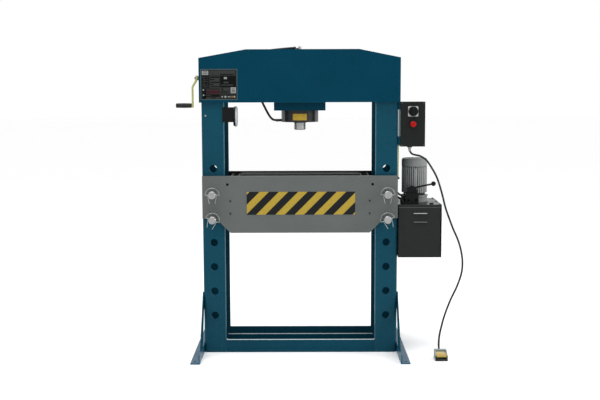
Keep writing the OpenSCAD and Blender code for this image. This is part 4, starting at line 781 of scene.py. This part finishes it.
bed_bolts = [(sx * BED_BOLT_X, z) for sx, side in SIDES for z in BED_BOLT_ROWS]
bed_faces = {"front": box_mm("bed_front_plate")[0].y, "back": box_mm("bed_back_plate")[1].y}
for sy, end in ENDS:
    fixings(add_bolt, "bed_bolts_" + end, [(x, bed_faces[end], z) for x, z in bed_bolts],
            (0, sy, 0), BED_BOLT_R, BLACK_STEEL, "bed")

cover_low, cover_high = box_mm("control_cover")
fixings(add_screw, "cover_screws",
        [(x, cover_high.y - COVER_T, z)
         for x in (cover_low.x + COVER_INSET, cover_high.x - COVER_INSET)
         for z in (cover_low.z + COVER_INSET, cover_high.z - COVER_INSET)],
        (0, -1, 0), COVER_SCREW_R, DARK_STEEL)

lid_low, lid_high = box_mm("tank_lid")
fixings(add_bolt, "lid_bolts",
        [(x, y, lid_high.z)
         for x in (lid_low.x + LID_INSET_X, lid_high.x - LID_INSET_X)
         for y in (lid_low.y + LID_INSET_Y, lid_low.y + LID_MIDDLE, lid_high.y - LID_INSET_Y)],
        (0, 0, 1), LID_BOLT_R, DARK_STEEL)

bell_low, bell_high = box_mm("bell_housing")
motor_x, motor_y = (bell_low.x + bell_high.x) / 2, (bell_low.y + bell_high.y) / 2
cowl_low, cowl_high = box_mm("motor_cowl")
cowl_r = (cowl_high.x - cowl_low.x) / 2
for k in range(COWL_SCREWS):
    angle = math.radians(COWL_SCREW_TURN + 360 * k / COWL_SCREWS)
    out = (math.cos(angle), math.sin(angle), 0)
    fixings(add_screw, "cowl_screw_%d" % k,
            [(motor_x + cowl_r * out[0], motor_y + cowl_r * out[1], cowl_low.z + COWL_SCREW_UP)],
            out, COWL_SCREW_R, DARK_STEEL)


# Hose ends

FERRULE = [(7.6, 0), (9.4, 0), (9.4, 4), (8.8, 5), (9.4, 6), (9.4, 10), (8.8, 11), (9.4, 12), (9.4, 16),
           (8.2, 18), (7.6, 18)]

bm = bmesh.new()
for line in (top_hose_line, lower_hose_line):
    for tip, along in ((line[0], line[2] - line[0]), (line[-1], line[-3] - line[-1])):
        add_lathe(bm, scaled(FERRULE, MM), tip, along, 24)
piece("hose_ferrules", bm, [BLACK_STEEL], "frame")


# Weld beads

WELD_PASS, WELD_NECK = 0.006, 0.82
BRACE_SEAM_OUT, BRACE_SEAM_Y, BRACE_SEAM_Z = 1, 170, (306, 408)
TOE_SEAM_OUT, TOE_SEAM_Y = 4, (294, 398)
FOOT_SEAM_Y = 186
HEADER_SEAM_X = (502, 646)
RAIL_SEAM_Z = (6, 86)
MOUNT_SEAM_X, LEDGE_SEAM_X = 168, 408
post_in, post_out = (round(corner.x) for corner in box_mm("right_upright"))
post_half = round(box_mm("right_upright")[1].y)
foot_top = round(box_mm("feet")[1].z)
header_foot = round(box_mm("header_front_plate")[0].z)
ledge_half, ledge_top = round(box_mm("bed_ledges")[1].y), round(box_mm("bed_ledges")[1].z)


def weld(name, start, end, radius, mat=WELD, body="frame", slot="blue_paint"):
    """A bead with the ripples of its passes, between two places in millimetres."""
    a, b = Vector(start) * MM, Vector(end) * MM
    count = max(4, int((b - a).length / WELD_PASS))
    line = [a.lerp(b, k / count) for k in range(count + 1)]
    bead = round_line(name, line, 2 * radius * MM, mat, body, sides=2)
    for k, point in enumerate(bead.data.splines[0].points):
        point.radius = 1.0 if k % 2 else WELD_NECK


for sx, side in SIDES:
    foot_x, brace_x, toe_x = (sx * (post_out + out) for out in (0, BRACE_SEAM_OUT, TOE_SEAM_OUT))
    weld("foot_weld_" + side, (foot_x, -FOOT_SEAM_Y, foot_top), (foot_x, FOOT_SEAM_Y, foot_top), 4)
    for sy, end in ENDS:
        tag = side + "_" + end
        weld("brace_weld_" + tag, *((brace_x, sy * BRACE_SEAM_Y, z) for z in BRACE_SEAM_Z), 4)
        weld("toe_weld_" + tag, *((toe_x, sy * y, foot_top) for y in TOE_SEAM_Y), 5)
        weld("header_weld_" + tag, *((sx * x, sy * post_half, header_foot) for x in HEADER_SEAM_X), 3.5)
    for sy, rail in ((-1, "rail_weld_"), (1, "back_rail_weld_")):
        weld(rail + side, *((sx * post_in, sy * post_half, z) for z in RAIL_SEAM_Z), 3.5)
for sy, end in ENDS:
    weld("mount_weld_" + end, *((x, sy * post_half, header_foot) for x in (-MOUNT_SEAM_X, MOUNT_SEAM_X)), 4)
    weld("ledge_weld_" + end, *((x, sy * ledge_half, ledge_top) for x in (-LEDGE_SEAM_X, LEDGE_SEAM_X)), 4,
         BED_WELD, "bed", "bed_paint")


# Type plate: plain fields of colour, with no lettering

def field_colour(name, colour):
    return plastic(name, colour, rough=0.4, spec=0.08)


FIELD_GREY = field_colour("field_grey", srgb(44, 46, 45))
FIELD_PALE = field_colour("field_pale", srgb(128, 131, 129))
FIELD_DARK = field_colour("field_dark", srgb(5, 6, 6))
FIELD_RED = field_colour("field_red", srgb(52, 26, 33))
FIELD_EDGE = field_colour("field_edge", srgb(62, 84, 87))
FIELD_AMBER = field_colour("field_amber", srgb(120, 84, 52))
PLATE_COLOURS = [FIELD_PALE, FIELD_GREY, FIELD_DARK, FIELD_RED, FIELD_EDGE, FIELD_AMBER]
PALE, GREY, DARK, WINE, EDGE, AMBER = range(len(PLATE_COLOURS))
FIELDS = [
    (PALE, (10, 12), (52, 38)), (GREY, (58, 10), (228, 42)), (DARK, (12, 48), (58, 124)),
    (GREY, (64, 48), (124, 124)), (DARK, (130, 46), (232, 118)), (WINE, (40, 137), (126, 163)),
    (PALE, (198, 120), (232, 158)), (DARK, (24, 166), (124, 180)), (GREY, (24, 183), (124, 193)),
    (GREY, (130, 122), (192, 158)), (DARK, (12, 128), (36, 194)),
]
MARKS = [
    (DARK, (130, 33), (218, 39)), (GREY, (18, 16), (46, 20)), (GREY, (18, 26), (46, 30)),
    (DARK, (64, 50), (124, 58)), (DARK, (64, 66), (92, 72)), (DARK, (68, 82), (124, 90)),
    (DARK, (64, 98), (86, 104)), (DARK, (70, 112), (124, 118)), (PALE, (154, 53), (174, 66)),
    (GREY, (152, 82), (184, 94)), (GREY, (134, 101), (214, 108)), (DARK, (138, 126), (150, 138)),
    (DARK, (134, 142), (188, 146)), (DARK, (134, 150), (176, 154)), (DARK, (40, 148), (126, 151)),
    (GREY, (205, 128), (226, 132)), (GREY, (205, 137), (226, 141)), (GREY, (205, 146), (226, 150)),
    (PALE, (15, 132), (24, 141)), (PALE, (15, 166), (24, 175)), (GREY, (26, 170), (70, 174)),
    (DARK, (70, 185), (100, 190)),
]
ROWS, ROW_STEP = 6, 12
for row in range(ROWS):
    shift, third, down = row % 2, row % 3, ROW_STEP * row
    MARKS += [(GREY, (15 + 5 * shift, 53 + down), (30 + 4 * third, 59 + down)),
              (GREY, (38 + 3 * shift, 54 + down), (52 + 2 * third, 58 + down))]
SPOT_ROW = 181
SPOTS = [(142, 5, PALE), (163, 7, PALE), (182, 4, PALE), (192, 4, PALE), (207, 6, AMBER), (222, 6, PALE)]
RIM = [((0, 0), (242, 4)), ((0, 198), (242, 202)), ((0, 4), (4, 198)), ((238, 4), (242, 198))]
FIELD_FACE, RIM_FACE, MARK_FACE = (0.25, -0.2), (0.35, -0.2), (0.5, 0.1)
FIELD_BEVEL = 0.00005
plate_low, plate_high = box_mm("type_plate")


def add_field(bm, index, low, high, face):
    """A thin field on the plate between two corners measured from its upper left corner."""
    front, back = face
    near = Vector((plate_low.x + low[0], plate_low.y - front, plate_high.z - high[1]))
    far = Vector((plate_low.x + high[0], plate_low.y - back, plate_high.z - low[1]))
    add_slab(bm, near * MM, far * MM, index, FIELD_BEVEL)


bm = bmesh.new()
for index, low, high in FIELDS:
    add_field(bm, index, low, high, FIELD_FACE)
for index, low, high in MARKS:
    add_field(bm, index, low, high, MARK_FACE)
for low, high in RIM:
    add_field(bm, EDGE, low, high, RIM_FACE)
for x, radius, index in SPOTS:
    add_lathe(bm, [(0, 0), (radius * MM, 0), (radius * MM, 0.0003), (0, 0.0004)],
              Vector((plate_low.x + x, plate_low.y, plate_high.z - SPOT_ROW)) * MM, (0, -1, 0), 28, index)
piece("type_plate_fields", bm, PLATE_COLOURS, "frame")


# Gauge face

DIAL_R, DIAL_BORE_R, DIAL_T, DIAL_RECESS = 0.0590, 0.0032, 0.0003, 0.002
DIAL_START, DIAL_SWEEP = 225, 270
TICKS, TICKS_PER_LONG, TICK_END_R, TICK_UP = 40, 5, 0.053, 0.0004
SHORT_TICK, LONG_TICK = (0.048, 0.0004), (0.044, 0.0007)
NUMBERS = ("0", "100", "200", "300", "400")
NUMBER_R, NUMBER_SIZE, NUMBER_UP = 0.034, 0.011, 0.0005
DIAL_WHITE = plastic("dial_white", srgb(236, 236, 230), rough=0.45)
INK = plastic("dial_ink", srgb(24, 24, 26), rough=0.5)
bezel_low, bezel_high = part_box("gauge_bezel")
dial = Vector((bezel_low.x + DIAL_RECESS, (bezel_low.y + bezel_high.y) / 2, (bezel_low.z + bezel_high.z) / 2))


def dial_turn(share):
    """The direction on the dial at a share of its sweep, and the one across it."""
    angle = math.radians(DIAL_START - DIAL_SWEEP * share)
    return Vector((0, math.cos(angle), math.sin(angle))), Vector((0, -math.sin(angle), math.cos(angle)))


bm = bmesh.new()
add_lathe(bm, [(DIAL_BORE_R, 0), (DIAL_R, 0), (DIAL_R, DIAL_T), (DIAL_BORE_R, DIAL_T), (DIAL_BORE_R, 0)],
          dial, (1, 0, 0), 64)
for k in range(TICKS + 1):
    along, across = dial_turn(k / TICKS)
    inner, half = SHORT_TICK if k % TICKS_PER_LONG else LONG_TICK
    base = dial + Vector((TICK_UP, 0, 0))
    corners = [base + along * r + across * w
               for r, w in ((inner, -half), (TICK_END_R, -half), (TICK_END_R, half), (inner, half))]
    face = bm.faces.new([bm.verts.new(corner) for corner in corners])
    face.material_index = 1
piece("gauge_face", bm, [DIAL_WHITE, INK], "frame")
for k, words in enumerate(NUMBERS):
    middle = dial + NUMBER_R * dial_turn(k / (len(NUMBERS) - 1))[0]
    data = bpy.data.curves.new("gauge_number_%d" % k, "FONT")
    data.body = words
    data.size = NUMBER_SIZE
    data.align_x = data.align_y = "CENTER"
    data.materials.append(INK)
    number = bpy.data.objects.new("gauge_number_%d" % k, data)
    scene.collection.objects.link(number)
    number.matrix_world = Matrix((
        (0, 0, 1, middle.x + NUMBER_UP),
        (1, 0, 0, middle.y),
        (0, 1, 0, middle.z),
        (0, 0, 0, 1)))
    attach(number, "frame")


# Main switch plate and knob mark

SWITCH_HALF, SWITCH_CORNER_R, SWITCH_BORE_R, SWITCH_SKIN = 0.0335, 0.0462, 0.008, 0.00025
SWITCH_STEPS = 48
POINTER_HALF, POINTER_SPAN, POINTER_FACE = 0.0010, (0.018, 0.027), (-0.0003, 0.0004)
knob_low, knob_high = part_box("switch_knob")
switch_x = (cover_low.x + cover_high.x) / 2 * MM
switch_y = cover_low.y * MM
switch_z = (knob_low.z + knob_high.z) / 2

outer_loop, inner_loop = [], []
for k in range(SWITCH_STEPS):
    angle = 2 * math.pi * k / SWITCH_STEPS
    c, q = math.cos(angle), math.sin(angle)
    reach = min(SWITCH_HALF / max(abs(c), abs(q)), SWITCH_CORNER_R)
    outer_loop.append((reach * c, reach * q))
    inner_loop.append((SWITCH_BORE_R * c, SWITCH_BORE_R * q))
bm = bmesh.new()
for depth in (0.0, -SWITCH_SKIN):
    rows = [[bm.verts.new((switch_x + x, switch_y + depth, switch_z + z)) for x, z in loop]
            for loop in (outer_loop, inner_loop)]
    for i in range(SWITCH_STEPS):
        j = (i + 1) % SWITCH_STEPS
        bm.faces.new((rows[0][i], rows[0][j], rows[1][j], rows[1][i]))
piece("switch_plate_face", bm, [WHITE], "frame")

bm = bmesh.new()
add_slab(bm, (switch_x - POINTER_HALF, knob_low.y + POINTER_FACE[0], switch_z + POINTER_SPAN[0]),
         (switch_x + POINTER_HALF, knob_low.y + POINTER_FACE[1], switch_z + POINTER_SPAN[1]), 0, 0.0001)
piece("knob_pointer", bm, [FIELD_GREY], "switch_knob")


# Nut and sleeve of the cable gland, wiper of the ram, plain strip on the motor

GLAND_NUT = [(14.8, 11), (18, 11), (18, 16.5), (17, 16.9), (14.8, 16.9), (14.8, 11)]
SLEEVE_D, SLEEVE_STEPS = 0.0175, 9
WIPER = [(40.5, 0), (50, 0), (50, 3), (41.2, 6), (40.5, 4), (40.5, 0)]
STRIP_LEFT, STRIP_RIGHT, STRIP_OUT, STRIP_IN, STRIP_UP, STRIP_DOWN = 0.014, 0.003, 0.0015, 0.006, 0.03, 0.012

gland_x, gland_y, _ = CORD_ROUTE[0]
bm = bmesh.new()
add_lathe(bm, scaled(GLAND_NUT, MM), (gland_x * MM, gland_y * MM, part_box("cord_gland")[0].z), (0, 0, 1), 6)
piece("gland_nut", bm, [BLACK], "frame")
round_line("gland_sleeve", cord_line[:SLEEVE_STEPS], SLEEVE_D, GLAND, "frame")
bm = bmesh.new()
add_lathe(bm, scaled(WIPER, MM), (0, 0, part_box("cylinder_barrel")[0].z), (0, 0, -1), 48)
piece("ram_wiper", bm, [BLACK], "frame")
housing_low, housing_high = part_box("motor_housing")
bm = bmesh.new()
add_slab(bm, (motor_x * MM - STRIP_LEFT, housing_low.y - STRIP_OUT, housing_low.z + STRIP_UP),
         (motor_x * MM + STRIP_RIGHT, housing_low.y + STRIP_IN, housing_high.z - STRIP_DOWN), 0, 0.001)
piece("motor_strip", bm, [COWL], "frame")


# Rolled lips of the door's louvres, the upper one pale as a painted highlight, and the pale strip on the
# front of the control box's bracket

LIP_X, LIP_Y, LIP_H, LIP_BEVEL = (0.7545, 0.8455), (-0.2116, -0.2092), 0.0055, 0.0009
PAD_X, PAD_Y, PAD_Z, PAD_BEVEL = (0.6504, 0.6648), (-0.1836, -0.1822), (1.456, 1.633), 0.0005

# The upper lip is lighter grey than the lower one, as a painted highlight.
for name, z, mat in (("louvre_lip_upper", 0.9425, GLAND), ("louvre_lip_lower", 0.8845, TANK)):
    bm = bmesh.new()
    add_slab(bm, (LIP_X[0], LIP_Y[0], z), (LIP_X[1], LIP_Y[1], z + LIP_H), 0, LIP_BEVEL)
    piece(name, bm, [mat], "cabinet_door")
bm = bmesh.new()
add_slab(bm, *zip(PAD_X, PAD_Y, PAD_Z), 0, PAD_BEVEL)
piece("bracket_pad", bm, [PAD], "frame")


# Crank boss and nut

BOSS = [(10.2, 0), (14, 0), (15, 2), (15, 13), (14, 15), (10.2, 15)]
BOSS_X, NUT_X, NUT_R = -0.6655, -0.692, 0.009
CRANK_Y, CRANK_Z = -0.100, 1.844

bm = bmesh.new()
add_lathe(bm, scaled(BOSS, MM), (BOSS_X, CRANK_Y, CRANK_Z), (-1, 0, 0), 32)
add_bolt(bm, Vector((NUT_X, CRANK_Y, CRANK_Z)), (-1, 0, 0), NUT_R)
piece("crank_boss", bm, [DARK_STEEL], "crank")


# Small plug and screw on the uprights, and the earth terminal

PLUG = [(0, 0), (6, 0), (6, 0.8), (4, 1.4), (0, 1.4)]
PLUG_PLACE = (-0.622, -0.190, 1.596)
POST_SCREW_PLACE, POST_SCREW_R = (582, -190, 1618), 5
EARTH_BOLT_PLACE, EARTH_BOLT_R = (660, -150, 1176), 5.5

bm = bmesh.new()
add_lathe(bm, scaled(PLUG, MM), PLUG_PLACE, (0, -1, 0))
piece("upright_plug", bm, [FIELD_PALE], "frame")
fixings(add_screw, "upright_screw", [POST_SCREW_PLACE], (0, -1, 0), POST_SCREW_R, BLACK_STEEL)
fixings(add_bolt, "earth_screw", [EARTH_BOLT_PLACE], (1, 0, 0), EARTH_BOLT_R, BLACK_STEEL)


# Ropes that the bed hangs on, laid up from six strands

STRANDS, STRAND_SIDES, STRAND_R = 6, 6, 0.00118
LAY_R, LAY_PITCH, LAY_STEPS = 0.0023, 0.045, 110
ROPE_X, ROPE_LOW_Z, ROPE_HIGH_Z = 0.5271, 1.148, 1.784


def wire_rope(name, x, y, low_z, high_z):
    """A stranded rope between two heights, fixed to the frame."""
    length = high_z - low_z
    bm = bmesh.new()
    for strand in range(STRANDS):
        rings = []
        for k in range(LAY_STEPS + 1):
            z = low_z + length * k / LAY_STEPS
            angle = 2 * math.pi * (strand / STRANDS + (z - low_z) / LAY_PITCH)
            middle = Vector((x + LAY_R * math.cos(angle), y + LAY_R * math.sin(angle), z))
            rings.append([bm.verts.new(middle + STRAND_R * Vector((math.cos(t), math.sin(t), 0)))
                          for t in (2 * math.pi * q / STRAND_SIDES for q in range(STRAND_SIDES))])
        for low, high in zip(rings, rings[1:]):
            for i in range(STRAND_SIDES):
                j = (i + 1) % STRAND_SIDES
                bm.faces.new((low[i], low[j], high[j], high[i]))
    rope = piece(name, bm, [ROPE], "frame", sharp=80)
    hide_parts("lift_ropes")
    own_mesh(rope)


wire_rope("lift_rope_left", -ROPE_X, -0.140, ROPE_LOW_Z, ROPE_HIGH_Z)
wire_rope("lift_rope_right", ROPE_X, -0.156, ROPE_LOW_Z, ROPE_HIGH_Z)


# Earth wire with its lug

EARTH_ROUTE = [(656, -150, 1399.3), (656, -150, 1390), (657.2, -150, 1332.3), (656, -150, 1265.3),
               (656, -150, 1180)]
EARTH_D = 0.006
LUG = [(0, 0), (8, 0), (8, 9), (7, 10), (0, 10)]
LUG_PLACE = (0.650, -0.150, 1.176)

earth = round_line("earth_lead", smooth(EARTH_ROUTE), EARTH_D, EARTH, "frame")
bm = bmesh.new()
add_lathe(bm, scaled(LUG, MM), LUG_PLACE, (1, 0, 0))
earth_lug = piece("earth_lug", bm, [BLACK_STEEL], "frame")
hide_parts("earth_wire")
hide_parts("earth_wire")
